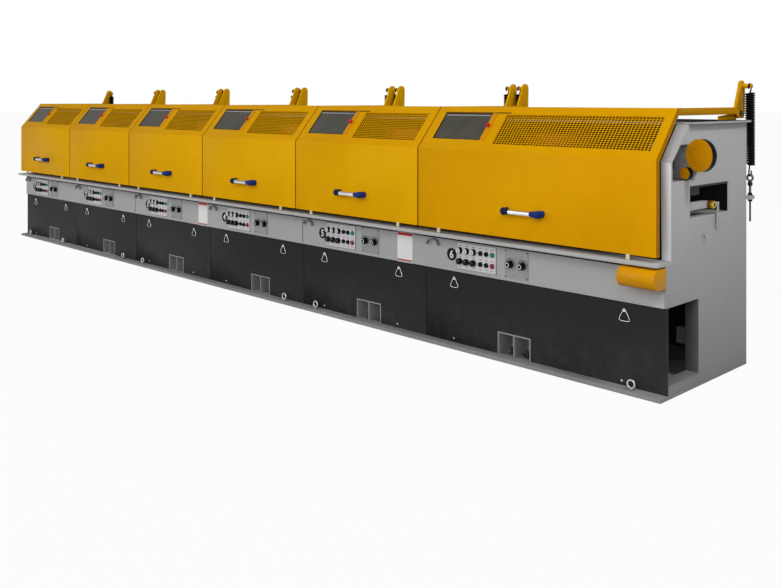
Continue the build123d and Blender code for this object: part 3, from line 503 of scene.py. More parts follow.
def linked(name: str, data: bpy.types.ID) -> bpy.types.Object:
    """Makes an object of some data and links it to the scene."""
    made = bpy.data.objects.new(name, data)
    bpy.context.scene.collection.objects.link(made)
    return made


@dataclass(frozen=True)
class Plate:
    """A flat plate with round corners: its size, corner radius, the heights of its faces, its slot."""

    width: float
    height: float
    corner: float
    low: float
    high: float
    slot: int = 0

    def add(self, shell: Shell, matrix: Matrix) -> None:
        """Adds the plate round the middle of a frame."""
        shell.slab(rounded(self.width, self.height, self.corner), self.low, self.high, matrix, self.slot)


@dataclass(frozen=True)
class Turned:
    """A turned shape: pairs of radius and height, its number of sides and its slot."""

    profile: Profile
    sides: int
    slot: int = 0

    def add(self, shell: Shell, matrix: Matrix) -> None:
        """Adds the shape on a frame's Z."""
        shell.lathe(self.profile, matrix, self.sides, self.slot)


@dataclass(frozen=True)
class Fastener:
    """A hexagon nut or bolt head with its washer, turned on a frame's Z."""

    across: float
    height: float
    washer: float
    washer_t: float
    stud: float = 0.0
    slot: int = 0

    def add(self, shell: Shell, matrix: Matrix) -> None:
        """Adds a washer, a hexagon with chamfered corners, and a stud's end if it has one.

        Args:
            shell: Where it goes.
            matrix: The frame on the face that it is tightened on.
        """
        r, t, w = self.across / 2, self.washer_t, self.washer
        rim = 0.1 * t
        top = t + self.height
        shell.lathe([(w - rim, 0), (w, rim), (w, t - rim), (w - rim, t)], matrix, 20, self.slot)
        shell.lathe([(r, t), (r, t + 0.8 * self.height), (0.86 * r, top)], matrix, 6, self.slot)
        if self.stud:
            s = 0.48 * r
            end = top + self.stud
            shell.lathe([(s, top), (s, end - 0.3 * s), (0.7 * s, end)], matrix, 12, self.slot)


class Graph:
    """A node tree with short ways to add, set and join nodes."""

    def __init__(self, tree: bpy.types.NodeTree) -> None:
        """Keeps the tree and empties it."""
        self.tree = tree
        tree.nodes.clear()

    def node(self, kind: str, **settings: object) -> bpy.types.Node:
        """Adds a node and sets its properties.

        Args:
            kind: The node's type, without the ShaderNode or Node prefix.
            settings: Its properties.

        Returns:
            The new node.
        """
        prefix = "Node" if kind.startswith("Group") and kind != "Group" else "ShaderNode"
        made = self.tree.nodes.new(prefix + kind)
        for key, value in settings.items():
            setattr(made, key, value)
        return made

    def feed(self, target: bpy.types.NodeSocket, source: object) -> None:
        """Joins a socket to another, or sets its value.

        Args:
            target: The input socket.
            source: An output socket, a number, a colour or a vector.
        """
        if isinstance(source, bpy.types.NodeSocket):
            self.tree.links.new(source, target)
        elif isinstance(source, tuple) and target.type == "RGBA" and len(source) == 3:
            target.default_value = (*source, 1.0)
        else:
            target.default_value = source

    def fed(self, kind: str, inputs: dict[str | int, object], output: int = 0, **settings: object) -> object:
        """Adds a node with its inputs fed.

        Args:
            kind: The node's type, without its prefix.
            inputs: What feeds its inputs, by their names or numbers.
            output: The number of the output wanted.
            settings: The node's properties.

        Returns:
            The output socket.
        """
        made = self.node(kind, **settings)
        for key, source in inputs.items():
            self.feed(made.inputs[key], source)
        return made.outputs[output]

    def math(self, operation: str, *values: object, clamp: bool = False) -> bpy.types.NodeSocket:
        """Adds a Math node with its inputs in order and returns its value."""
        return self.fed("Math", dict(enumerate(values)), operation=operation, use_clamp=clamp)

    def mix(self, factor: object, first: object, second: object) -> bpy.types.NodeSocket:
        """Mixes two colours: first (1 - f) + second f."""
        return self.fed("Mix", {0: factor, 6: first, 7: second}, output=2, data_type="RGBA")

    def blend(self, factor: object, first: object, second: object) -> bpy.types.NodeSocket:
        """Mixes two shaders: first (1 - f) + second f."""
        return self.fed("MixShader", {0: factor, 1: first, 2: second})

    def span(self, value: object, low: float, high: float, to_low: float, to_high: float) -> object:
        """Carries a value from the range low to high to another range, kept inside it."""
        ends = {"From Min": low, "From Max": high, "To Min": to_low, "To Max": to_high}
        return self.fed("MapRange", {"Value": value, **ends})

    def noise(self, vector: object, scale: object, detail: float) -> bpy.types.NodeSocket:
        """Adds a noise texture and returns its value."""
        return self.fed("TexNoise", {"Vector": vector, "Scale": scale, "Detail": detail})


class Effect(Enum):
    """The shared surface effects, each built once as a node group."""

    TONE = "broad_tone"
    PEEL = "orange_peel"
    EDGE = "edge_wear"
    DUST = "floor_dust"
    GRAIN = "drawn_grain"


def effect_tree(effect: Effect) -> bpy.types.NodeTree:
    """Builds a shared effect's node group, or returns the one that is there.

    Args:
        effect: The effect wanted.

    Returns:
        Its node group.
    """
    found = bpy.data.node_groups.get(effect.value)
    if found is not None:
        return found
    tree = bpy.data.node_groups.new(effect.value, "ShaderNodeTree")
    makers: dict[Effect, Callable[[bpy.types.NodeTree], None]] = {
        Effect.TONE: tone_effect,
        Effect.PEEL: peel_effect,
        Effect.EDGE: edge_effect,
        Effect.DUST: dust_effect,
        Effect.GRAIN: grain_effect,
    }
    makers[effect](tree)
    return tree


def sockets(tree: bpy.types.NodeTree, inputs: dict[str, float], output: str) -> tuple[Graph, dict, Callable]:
    """Gives a group its sockets: a vector, some numbers, and one number out.

    Args:
        tree: The node group.
        inputs: The numbers' names and first values.
        output: The name of what comes out.

    Returns:
        The graph, the group's inputs by name, and a function that feeds its output.
    """
    tree.interface.new_socket("Vector", in_out="INPUT", socket_type="NodeSocketVector")
    for name, value in inputs.items():
        socket = tree.interface.new_socket(name, in_out="INPUT", socket_type="NodeSocketFloat")
        socket.default_value = value
    tree.interface.new_socket(output, in_out="OUTPUT", socket_type="NodeSocketFloat")
    graph = Graph(tree)
    entry = graph.node("GroupInput")
    leave = graph.node("GroupOutput")
    given = {name: entry.outputs[name] for name in ("Vector", *inputs)}
    return graph, given, lambda source: graph.feed(leave.inputs[output], source)


def tone_effect(tree: bpy.types.NodeTree) -> None:
    """Slow changes of tone over a sheet: three parts of a wide noise and one of a finer one.

    Args:
        tree: The group to fill.
    """
    graph, given, out = sockets(tree, {"Scale": 1.2}, "Tone")
    wide = graph.noise(given["Vector"], given["Scale"], 2.0)
    fine = graph.noise(given["Vector"], graph.math("MULTIPLY", given["Scale"], 9.0), 4.0)
    both = graph.math("ADD", graph.math("MULTIPLY", wide, 0.75), graph.math("MULTIPLY", fine, 0.25))
    out(graph.span(both, 0.3, 0.7, 0.0, 1.0))


def peel_effect(tree: bpy.types.NodeTree) -> None:
    """The fine dimples of sprayed enamel: one fine noise."""
    graph, given, out = sockets(tree, {"Scale": 420.0}, "Height")
    out(graph.noise(given["Vector"], given["Scale"], 1.5))


def edge_effect(tree: bpy.types.NodeTree) -> None:
    """A ragged mask along outer edges, where a rounded normal leaves the face's own: wear, and a painted
    highlight where the edge colour is lighter.

    Args:
        tree: The group to fill.
    """
    graph, given, out = sockets(tree, {"Width": 0.003, "Amount": 0.5}, "Mask")
    soft = graph.node("Bevel", samples=4)
    graph.feed(soft.inputs["Radius"], given["Width"])
    own = graph.node("NewGeometry")
    both = {0: soft.outputs["Normal"], 1: own.outputs["Normal"]}
    dot = graph.fed("VectorMath", both, output=1, operation="DOT_PRODUCT")
    turned = graph.span(dot, 0.99, 0.80, 0.0, 1.0)
    ragged = graph.span(graph.noise(given["Vector"], 60.0, 5.0), 0.42, 0.62, 0.0, 1.0)
    out(graph.math("MULTIPLY", graph.math("MULTIPLY", turned, ragged), given["Amount"], clamp=True))


def dust_effect(tree: bpy.types.NodeTree) -> None:
    """Floor dust that thins out with height, broken up by noise as far as it isn't even; on the walls it is
    painted shade, darker towards the floor.

    Args:
        tree: The group to fill.
    """
    graph, given, out = sockets(tree, {"Top": 0.4, "Amount": 0.3, "Even": 0.2}, "Mask")
    height = graph.fed("SeparateXYZ", {0: given["Vector"]}, output=2)
    low = graph.math("SUBTRACT", 1.0, graph.math("DIVIDE", height, given["Top"]), clamp=True)
    broken = graph.span(graph.noise(given["Vector"], 14.0, 6.0), 0.35, 0.7, 0.2, 1.0)
    broken = graph.math("MAXIMUM", broken, given["Even"])
    out(graph.math("MULTIPLY", graph.math("MULTIPLY", low, broken), given["Amount"], clamp=True))


def grain_effect(tree: bpy.types.NodeTree) -> None:
    """The fine lines of drawn or turned metal: a noise stretched along X."""
    graph, given, out = sockets(tree, {"Scale": 900.0}, "Lines")
    stretched = graph.fed("Mapping", {"Vector": given["Vector"], "Scale": (0.03, 1.0, 1.0)})
    out(graph.noise(stretched, given["Scale"], 2.0))


class Surface:
    """A material under way: a Principled BSDF with its graph and the piece's own coordinates."""

    def __init__(self, name: str) -> None:
        """Starts the material.

        Args:
            name: The finish's name.
        """
        self.material = bpy.data.materials.new(name)
        self.material.use_nodes = True
        self.graph = Graph(self.material.node_tree)
        self.shader = self.graph.node("BsdfPrincipled")
        end = self.graph.node("OutputMaterial")
        self.graph.feed(end.inputs["Surface"], self.shader.outputs["BSDF"])
        self.place = self.graph.node("TexCoord").outputs["Object"]

    def effect(self, effect: Effect, **values: float) -> bpy.types.NodeSocket:
        """Places a shared effect with its own values and returns what it puts out."""
        return self.graph.fed("Group", {"Vector": self.place, **values}, node_tree=effect_tree(effect))

    def set(self, **values: object) -> None:
        """Sets the shader's own sockets; an underscore in a name stands for a space."""
        for name, value in values.items():
            self.graph.feed(self.shader.inputs[name.replace("_", " ")], value)

    def bump(self, height: object, strength: float, distance: float) -> None:
        """Adds a bump from a height, so strong and so many metres deep."""
        inputs = {"Strength": strength, "Distance": distance, "Height": height}
        self.set(Normal=self.graph.fed("Bump", inputs))


@dataclass(frozen=True)
class Finish:
    """A finish's name and the two screen colours that its tone moves between."""

    name: str
    colour: Screen
    shade: Screen

    def begun(self, scale: float) -> tuple[Surface, bpy.types.NodeSocket, bpy.types.NodeSocket]:
        """Starts the finish's material.

        Args:
            scale: How fine its changes of tone are.

        Returns:
            The surface under way, the tone from 0 to 1, and the colour that the tone gives.
        """
        made = Surface(self.name)
        tone = made.effect(Effect.TONE, Scale=scale)
        return made, tone, made.graph.mix(tone, srgb(*self.colour), srgb(*self.shade))


@dataclass(frozen=True)
class Enamel(Finish):
    """Sprayed machine enamel with a slow change of tone, peel, worn edges that are mostly a lighter painted
    highlight, and floor dust that on the walls is painted shade.
    """

    edge: Screen
    roughness: float = 0.42
    peel: float = 0.10
    wear: float = 0.40
    dust: float = 0.0
    specular: float = 0.20
    dust_top: float = 0.45
    dust_colour: Screen = (120, 112, 100)
    even: float = 0.2

    def material(self) -> bpy.types.Material:
        """Makes the enamel's material.

        Returns:
            The material.
        """
        made, tone, paint = self.begun(1.1)
        graph = made.graph
        # Edges move to the edge colour: wear, and a painted highlight where that colour is lighter.
        if self.wear:
            paint = graph.mix(made.effect(Effect.EDGE, Amount=self.wear), paint, srgb(*self.edge))
        # Darker towards the floor: dust, and on the walls painted shade.
        if self.dust:
            dust_and_shade_mask = made.effect(Effect.DUST, Top=self.dust_top, Amount=self.dust, Even=self.even)
            paint = graph.mix(dust_and_shade_mask, paint, srgb(*self.dust_colour))
        rough = graph.span(tone, 0, 1, self.roughness - 0.05, self.roughness + 0.07)
        made.set(Base_Color=paint, Roughness=rough, Specular_IOR_Level=self.specular)
        made.bump(made.effect(Effect.PEEL, Scale=420.0), self.peel, 0.0006)
        return made.material


@dataclass(frozen=True)
class Metal(Finish):
    """Bare or plated metal with fine lines and a change of tone."""

    roughness: float
    grain: float = 0.15
    metallic: float = 1.0

    def material(self) -> bpy.types.Material:
        """Makes the metal's material.

        Returns:
            The material.
        """
        made, _, colour = self.begun(9.0)
        lines = made.effect(Effect.GRAIN)
        rough = made.graph.span(lines, 0.3, 0.7, self.roughness - 0.08, self.roughness + 0.1)
        made.set(Base_Color=colour, Metallic=self.metallic, Roughness=rough)
        made.bump(lines, self.grain, 0.0003)
        return made.material


@dataclass(frozen=True)
class Moulding(Finish):
    """Moulded plastic or rubber with a fine texture."""

    roughness: float
    specular: float = 0.25
    texture: float = 0.1

    def material(self) -> bpy.types.Material:
        """Makes the moulding's material.

        Returns:
            The material.
        """
        made, tone, colour = self.begun(22.0)
        rough = made.graph.span(tone, 0, 1, self.roughness - 0.04, self.roughness + 0.08)
        made.set(Base_Color=colour, Roughness=rough, Specular_IOR_Level=self.specular)
        made.bump(made.effect(Effect.PEEL, Scale=1500.0), self.texture, 0.0002)
        return made.material


@dataclass(frozen=True)
class Tinted(Finish):
    """Dark tinted window pane with faint smears."""

    roughness: float = 0.08
    see_through: float = 0.25

    def material(self) -> bpy.types.Material:
        """Makes the pane's material.

        Returns:
            The material.
        """
        made, smear, colour = self.begun(5.0)
        rough = made.graph.span(smear, 0, 1, self.roughness, self.roughness + 0.12)
        made.set(Base_Color=colour, Transmission_Weight=self.see_through, Roughness=rough, IOR=1.49)
        return made.material


YELLOW = Enamel(
    "guard_yellow", (217, 162, 0), (209, 151, 0), (224, 174, 20),
    roughness=0.44, peel=0.08, wear=0.30, specular=0.03,
)
NEAR_YELLOW = replace(
    YELLOW, name="guard_yellow_near", colour=(214, 154, 0), shade=(205, 142, 0), edge=(224, 170, 20)
)
# A darker copy of the guard yellow: painted shade on the guards' slopes and their perforated sheets.
SLOPE_PAINTED_SHADE = replace(
    YELLOW, name="slope_yellow_painted_shade", colour=(204, 149, 0), shade=(195, 138, 0), edge=(214, 162, 20),
    roughness=0.46,
)
# A darker copy of the guard yellow: painted shade on each guard's end lip.
LIP_PAINTED_SHADE = replace(YELLOW, name="guard_lip_painted_shade", colour=(176, 120, 0), shade=(164, 108, 0), edge=(190, 140, 20))
STILE = replace(YELLOW, name="stile_orange", colour=(206, 140, 6), shade=(194, 126, 4), edge=(216, 160, 30))
WHEEL = replace(
    YELLOW, name="wheel_yellow", colour=(198, 134, 2), shade=(186, 122, 2), edge=(140, 88, 10),
    peel=0.10, wear=0.35,
)
COVER = replace(
    YELLOW, name="cover_yellow", colour=(206, 144, 0), shade=(196, 132, 0), edge=(224, 174, 24),
    roughness=0.26, peel=0.05, specular=0.10,
)
GREY = Enamel("frame_grey", (176, 176, 176), (167, 167, 168), (202, 202, 202), dust=0.24)
# On the walls the dark, nearly even darkening towards the floor is painted shade.
WALL = Enamel(
    "wall_grey", (190, 190, 190), (183, 183, 184), (208, 208, 208),
    dust=0.72, dust_top=1.35, dust_colour=(62, 62, 63), even=0.94,
)
# A lighter grey: painted light on the near wall flange's upright front, and the junction box's own pale grey.
PALE_AND_PAINTED_LIGHT = Enamel("pale_grey_and_painted_light", (222, 223, 224), (214, 215, 216), (226, 226, 226), dust=0.2)
BAND = Enamel("band_grey", (167, 167, 167), (160, 160, 161), (200, 200, 200))
# A darker grey: painted shade on the guide plate and ledge in the end recess, the tabs under the rail and the
# anchor pockets.
BRACKET_PAINTED_SHADE = Enamel(
    "bracket_grey_painted_shade", (146, 146, 147), (136, 136, 138), (190, 190, 190), roughness=0.5, specular=0.15
)
# A dark grey: painted shade on the low faces in the near wall's service opening, and the inner block's
# colour.
SHADED = Enamel(
    "painted_shade_grey", (98, 98, 98), (86, 86, 87), (130, 130, 130), roughness=0.6, wear=0.2, specular=0.10
)
BASE = Enamel(
    "base_grey", (142, 142, 144), (130, 130, 132), (176, 176, 177), roughness=0.6, peel=0.12, specular=0.10
)
CHARCOAL = Enamel(
    "panel_charcoal", (40, 39, 41), (33, 33, 35), (70, 70, 72),
    roughness=0.5, peel=0.14, dust=0.10, specular=0.10,
)
# Painted shade: the dark of the machine's inner faces, its deck, the roof's underside and the joint strips.
INSIDE_PAINTED_SHADE = Enamel(
    "inside_painted_shade", (60, 59, 57), (46, 46, 45), (70, 70, 70), roughness=0.8, wear=0.0, specular=0.05
)
# Painted shade on the roof plates' top faces.
ROOF_PAINTED_SHADE = Enamel(
    "roof_top_painted_shade", (48, 50, 49), (38, 40, 39), (80, 80, 80), roughness=0.8, peel=0.12, wear=0.3, specular=0.0
)
TRACK = Enamel(
    "track_brown", (96, 66, 14), (80, 54, 12), (140, 100, 30),
    roughness=0.5, peel=0.08, wear=0.2, specular=0.10,
)
STOP = Enamel(
    "stop_pale", (214, 204, 170), (200, 188, 150), (220, 214, 190), roughness=0.5, wear=0.3, specular=0.25
)
ORANGE = Enamel(
    "block_orange", (206, 104, 22), (188, 88, 16), (220, 150, 90), roughness=0.4, wear=0.3, specular=0.25
)
WHITE = Enamel(
    "plate_white", (226, 226, 224), (216, 216, 214), (230, 230, 230),
    roughness=0.4, peel=0.04, wear=0.0, specular=0.25,
)
RED = replace(WHITE, name="signal_red", colour=(190, 24, 44), shade=(170, 18, 34), peel=0.05)
FACE = replace(WHITE, name="legend_white", colour=(206, 204, 208), shade=(194, 192, 197))
MARK = replace(WHITE, name="legend_grey", colour=(128, 126, 132), shade=(116, 114, 120), roughness=0.5)
ZINC = Metal("zinc_steel", (196, 197, 198), (164, 166, 168), 0.34)
CHROME = Metal("bright_tube", (226, 228, 232), (205, 208, 214), 0.24, grain=0.08)
# Blacked steel, also the painted shade of the discs that stand for the strip's holes at the outlet end.
BLACKED_AND_PAINTED_SHADE = Metal("blacked_steel_and_painted_shade", (22, 22, 23), (13, 13, 14), 0.48, metallic=0.2)
DULL = Metal("dull_steel", (104, 104, 106), (84, 84, 86), 0.46, metallic=0.6)
PLATE = Metal("brushed_plate", (150, 151, 153), (136, 137, 140), 0.42, grain=0.2, metallic=0.7)
BRASS = Metal("worn_brass", (206, 168, 44), (168, 124, 30), 0.36, grain=0.2, metallic=0.7)
BRONZE = Metal("aged_bronze", (140, 92, 34), (104, 62, 24), 0.42, grain=0.2, metallic=0.6)
BLUE = Moulding("handle_blue", (14, 46, 118), (9, 34, 96), 0.36, specular=0.14)
# A darker copy of the handle blue: painted shade on each handle's left end.
NAVY_PAINTED_SHADE = Moulding("handle_blue_painted_shade", (12, 28, 70), (7, 18, 48), 0.4, specular=0.10)
BLACK = Moulding("knob_black", (17, 17, 18), (9, 9, 10), 0.38, specular=0.12)
GREEN = Moulding("button_green", (20, 140, 104), (12, 118, 86), 0.30)
MAROON = Moulding("button_red", (150, 34, 70), (122, 22, 54), 0.30)
KNOB_RED = Moulding("window_knob_red", (196, 22, 40), (160, 14, 30), 0.25)
SPRING = Moulding("spring_black", (9, 10, 10), (6, 7, 7), 0.5, specular=0.05)
# Dark rubber of the window gaskets and joints, also the dark of the painted shadows under the rail and in the
# last guard's gap.
GASKET_AND_PAINTED_SHADOW = Moulding("gasket_rubber_and_painted_shadow", (24, 24, 25), (18, 18, 19), 0.6, specular=0.1)
GLASS = Tinted("tinted_pane", (62, 60, 52), (82, 79, 68))


Chooser = Callable[[np.ndarray, np.ndarray], np.ndarray]


class Workshop:
    """Keeps the frame and makes, dresses and mounts pieces on it."""

    def __init__(self) -> None:
        """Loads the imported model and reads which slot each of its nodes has."""
        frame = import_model()
        self.nodes: dict[str, bpy.types.Object] = frame["nodes"]
        self.node_slot = {row["node"]: row["material_slot"] for row in frame["record"]["subparts"]}
        self.made: dict[str, bpy.types.Material] = {}
        self.left_over = set(self.nodes)

    def material(self, finish: Finish) -> bpy.types.Material:
        """Makes a finish's material the first time, and gives the same one after that.

        Args:
            finish: The finish.

        Returns:
            Its material.
        """
        if finish.name not in self.made:
            self.made[finish.name] = finish.material()
        return self.made[finish.name]

    def paint(self, name: str, finish: Finish) -> None:
        """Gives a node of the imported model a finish.

        Args:
            name: The node.
            finish: Its finish.
        """
        data = self.nodes[name].data
        data.materials.clear()
        data.materials.append(self.material(finish))
        self.left_over.discard(name)

    def mount(
        self, piece: bpy.types.Object, finishes: Sequence[Finish], body: str, slot: str,
        stands_for: Sequence[str] = (),
    ) -> None:
        """Dresses a piece and lets it ride on a body.

        Args:
            piece: The piece.
            finishes: The finishes of its material numbers, in order.
            body: The body that it moves with.
            slot: The record's slot, which is not used.
            stands_for: The nodes that it replaces.
        """
        for finish in finishes:
            piece.data.materials.append(self.material(finish))
        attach(piece, body)
        if stands_for:
            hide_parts(*stands_for)
            self.left_over.difference_update(stands_for)
        LOG.info("%s rides on %s", piece.name, body)

    def softened(
        self, name: str, finish: Finish, width: float, keep: float = 40.0, others: Sequence[Finish] = (),
        choose: Chooser | None = None,
    ) -> None:
        """Copies a node, evens out its flat faces, rounds its edges and lets the copy stand for it.

        The flat faces are cut into triangles first, since one with cut-outs would be filled in across
        them when its edges are rounded.

        Args:
            name: The node that the copy stands for.
            finish: The copy's finish.
            width: How far each edge is rounded.
            keep: The angle in degrees above which an edge is rounded.
            others: Finishes for some of its faces.
            choose: Gives each face's finish number from the faces' middles and normals, 0 for the first.
        """
        source = self.nodes[name]
        work = bmesh.new()
        work.from_mesh(source.data)
        bmesh.ops.remove_doubles(work, verts=work.verts, dist=2e-5)
        bmesh.ops.dissolve_limit(work, angle_limit=math.radians(0.5), verts=work.verts, edges=work.edges)
        bmesh.ops.triangulate(work, faces=work.faces)
        mesh = bpy.data.meshes.new(f"{name}_finished")
        piece = shown(f"{name}_finished", mesh, work, keep)
        if choose is not None:
            middles, normals = (np.empty(len(mesh.polygons) * 3) for _ in range(2))
            mesh.polygons.foreach_get("center", middles)
            mesh.polygons.foreach_get("normal", normals)
            numbers = choose(middles.reshape(-1, 3), normals.reshape(-1, 3))
            mesh.polygons.foreach_set("material_index", numbers.astype(np.int32))
        bevel = piece.modifiers.new("rounded_edges", "BEVEL")
        bevel.width = width
        bevel.segments = 2
        bevel.limit_method = "ANGLE"
        bevel.angle_limit = math.radians(keep)
        bevel.use_clamp_overlap = False
        bevel.harden_normals = True
        self.mount(piece, [finish, *others], source["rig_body"], self.node_slot[name], [name])


@dataclass
class Housing:
    """The fixed plates: base, panels, band, rail, roof, walls, pockets and tabs."""

    shop: Workshop
    round_plate: float = 0.0025
    round_sheet: float = 0.0016
    opening_in: float = 0.20
    edge_past: float = 0.01
    upright_to: float = 0.3
    joint_ends: Span = (0.016, 0.250)
    joint_z: float = 0.7565
    joint_w: float = 0.008
    joint_t: float = 0.0005
    band_joint: Plate = Plate(0.006, 0.226, 0.001, 0, 0.0006)
    band_z: float = 0.645
    panel_joint: Plate = Plate(0.009, 0.496, 0.001, 0, 0.0006)
    panel_z: float = 0.280
    wall_in: float = 0.1223
    wall_knee: float = 1.382
    edge_gap: float = 0.0007
    roof_gap: float = 0.0006
    seat: float = 0.0004
    flange_w: float = 0.066
    flange_reach: float = 0.052
    flange_t: float = 0.010
    flange_back: float = 0.0012
    seal_w: Span = (0.007, -0.001)
    seal_top: float = -0.012
    wall_face: float = 0.0123
    lip: Plate = Plate(0.130, 0.012, 0.003, -0.112, 0.0)
    block: Plate = Plate(0.110, 0.078, 0.006, -0.112, -0.058)
    shelf: Plate = Plate(0.518, 0.030, 0.002, -0.006, 0.0)
    block_places: tuple[Span, ...] = ((-0.010, 1.240), (-0.010, 1.196), (0.047, 1.230))
    strip: Plate = Plate(0.040, 1.550, 0.002, 0, 0.002)
    strip_in: float = 0.0083
    strip_z: float = 0.815
    stud_z: float = 0.052
    stud_insets: Span = (0.27, 0.30)
    stud_r: float = 0.007
    stud_rim: float = 0.0012
    nut: Fastener = Fastener(0.034, 0.018, 0.024, 0.004, stud=0.022)
    nut_apart: float = 0.0665
    nut_in: float = 0.150

    def build(self) -> None:
        """Rounds the plates' edges, paints them, darkens their inner faces with painted shade and adds their
        fasteners.
        """
        soften = self.shop.softened
        soften("base_frame", BASE, self.round_plate)
        soften("front_rail", GREY, self.round_plate)
        for name, axis, inwards in (("near_end_wall", 0, -1), ("far_end_wall", 0, 1), ("rear_panels", 1, -1)):
            parts = partial(self.wall_parts, axis=axis, inwards=inwards)
            # The walls' inner faces and the low opening's sides take painted shade; the flange's upright
            # front is painted light and its slope the darker frame grey as painted shade.
            soften(name, WALL, self.round_plate, others=[INSIDE_PAINTED_SHADE, PALE_AND_PAINTED_LIGHT, GREY, SHADED], choose=parts)
        soften("roof_plates", GREY, self.round_plate, others=[INSIDE_PAINTED_SHADE, ROOF_PAINTED_SHADE], choose=self.roof_parts)
        # The rail tabs and anchor pockets take the darker bracket grey as painted shade.
        for name, finish in (
            ("control_band", BAND), ("rail_tabs", BRACKET_PAINTED_SHADE), ("anchor_pockets", BRACKET_PAINTED_SHADE),
            ("lower_panels", CHARCOAL),
        ):
            soften(name, finish, self.round_sheet)
        self.shop.paint("deck", INSIDE_PAINTED_SHADE)
        self.shop.paint("junction_box", PALE_AND_PAINTED_LIGHT)
        self.panel_studs()
        self.anchor_nuts()
        self.flange()
        self.inner_block()
        self.joint_strips()
        self.seams()

    def wall_parts(self, middles: np.ndarray, normals: np.ndarray, axis: int, inwards: int) -> np.ndarray:
        """Tells a wall's faces apart: 1 inside, 2 flange's upright front, 3 its slope, 4 low opening's side.

        The inside and the low opening's side take painted shade, the upright front painted light, and the
        slope the darker frame grey as painted shade.

        Args:
            middles: The faces' middles.
            normals: The faces' normals.
            axis: The axis that the wall is square to.
            inwards: Which way along the axis its inner face looks.

        Returns:
            The number of each face's finish.
        """
        inner = inwards * normals[:, axis] > FLAT_TO
        _, y, z = middles.T
        forward = normals[:, 1] < -TURNED_TO
        edge = forward & (y < ROW.roof_y + self.edge_past) & (z > ROW.deck_top)
        low = forward & (z < ROW.deck_top) & (y > ROW.front + self.opening_in)
        upright = edge & (normals[:, 2] < self.upright_to)
        return np.select([inner, low, upright, edge], [1, 4, 2, 3], 0)

    def roof_parts(self, middles: np.ndarray, normals: np.ndarray) -> np.ndarray:
        """Tells the roof's faces apart: 1 below, in the inside's painted shade, 2 on top, in a dark painted
        shade, 0 for the edges.
        """
        return np.select([normals[:, 2] < -FLAT_TO, normals[:, 2] > FLAT_TO], [1, 2], 0)

    def seams(self) -> None:
        """Adds a dark strip of painted shadow under the rail, and the two joints between the three lengths of
        the machine.
        """
        shell = Shell()
        # The long strip under the rail is painted shadow.
        left, right = ROW.far + self.joint_ends[0], ROW.near - self.joint_ends[1]
        line = Plate(right - left, self.joint_w, 0.001, 0, self.joint_t)
        line.add(shell, ROW.front_face((left + right) / 2, ROW.band_y, self.joint_z))
        for n in ROW.lengths_end:
            self.band_joint.add(shell, ROW.front_face(ROW.right(n), ROW.band_y, self.band_z))
            self.panel_joint.add(shell, ROW.front_face(ROW.right(n), ROW.panel_y, self.panel_z))
        self.shop.mount(shell.build("length_joints_and_rail_shadow"), [GASKET_AND_PAINTED_SHADOW], "machine", "black_plastic")

    def flange(self) -> None:
        """Adds the near wall's inner flange and, on it, a dark strip of painted shadow in the gap that the
        last guard closes on.

        Both are the wall's own line, edge to knee to roof, carried along X. The strip of painted shadow
        narrows towards the roof.
        """
        edge, low = ROW.front + self.wall_in - self.edge_gap, ROW.deck_top + self.seat
        roof_y, roof_z = ROW.roof_y - self.roof_gap, ROW.roof_bottom - self.seat
        t, knee = self.flange_t, self.wall_knee
        section = np.array(
            ((edge, low), (edge, knee), (roof_y, roof_z), (roof_y + t, roof_z),
             (edge + t, knee - t / 2), (edge + t, low))
        )
        right = ROW.near - self.flange_w
        foot, bend = self.seal_w
        taper = np.array((foot, bend, self.seal_top, self.seal_top, bend, foot))
        for name, finish, back, ends in (
            ("near_wall_flange", GREY, self.flange_back, self.seat), ("near_wall_gap_shadow", GASKET_AND_PAINTED_SHADOW, 0.0, taper)
        ):
            shell = Shell()
            line = section + (back, 0)
            rows = [np.column_stack((np.full(6, right) + end, line)) for end in (-self.flange_reach, ends)]
            shell.surface(np.stack(rows), round_v=True, capped=True)
            self.shop.mount(shell.build(name), [finish], "machine", "frame_grey")

    def inner_block(self) -> None:
        """Adds what hangs on the near wall's inner face: a lip over the wire opening, a block on a shelf."""
        shell = Shell()
        for plate, place in zip((self.lip, self.block, self.shelf), self.block_places):
            plate.add(shell, ROW.end_face(ROW.near - self.wall_face, *place))
        self.shop.mount(shell.build("inner_wire_block", 40), [SHADED], "machine", "frame_grey")

    def joint_strips(self) -> None:
        """Adds the strips that close the joints between the rear panels, on their inner side, dark with the
        inside's painted shade.
        """
        shell = Shell()
        for n in list(ROW.numbers)[:-1]:
            y = ROW.front + ROW.depth - self.strip_in
            self.strip.add(shell, ROW.front_face(ROW.right(n), y, self.strip_z))
        self.shop.mount(shell.build("joint_strips"), [INSIDE_PAINTED_SHADE], "machine", "frame_grey")

    def panel_studs(self) -> None:
        """Adds the dome-headed studs near the foot of each lower panel: r cos a wide, 0.6 r sin a high."""
        shell = Shell()
        r, rim = self.stud_r, self.stud_rim
        dome = oval(np.linspace(0, np.pi / 2, 6), r, 0.6 * r) + (1e-5, rim)
        stud = Turned([(1.25 * r, 0.0), (1.25 * r, rim), *dome.tolist()], 16)
        for n in ROW.numbers:
            for x in (ROW.left(n) + self.stud_insets[0], ROW.right(n) - self.stud_insets[1]):
                stud.add(shell, ROW.front_face(x, ROW.panel_y, self.stud_z))
        self.shop.mount(shell.build("panel_studs"), [ZINC], "machine", "bright_steel")

    def anchor_nuts(self) -> None:
        """Adds a washer, nut and stud end over each anchor bolt hole."""
        shell = Shell()
        for n in ROW.numbers:
            for x in (ROW.drive(n) - self.nut_apart, ROW.drive(n) + self.nut_apart):
                self.nut.add(shell, Matrix.Translation((x, ROW.front + self.nut_in, ROW.base_top)))
        self.shop.mount(shell.build("anchor_nuts"), [BLACKED_AND_PAINTED_SHADE], "machine", "dark_steel")


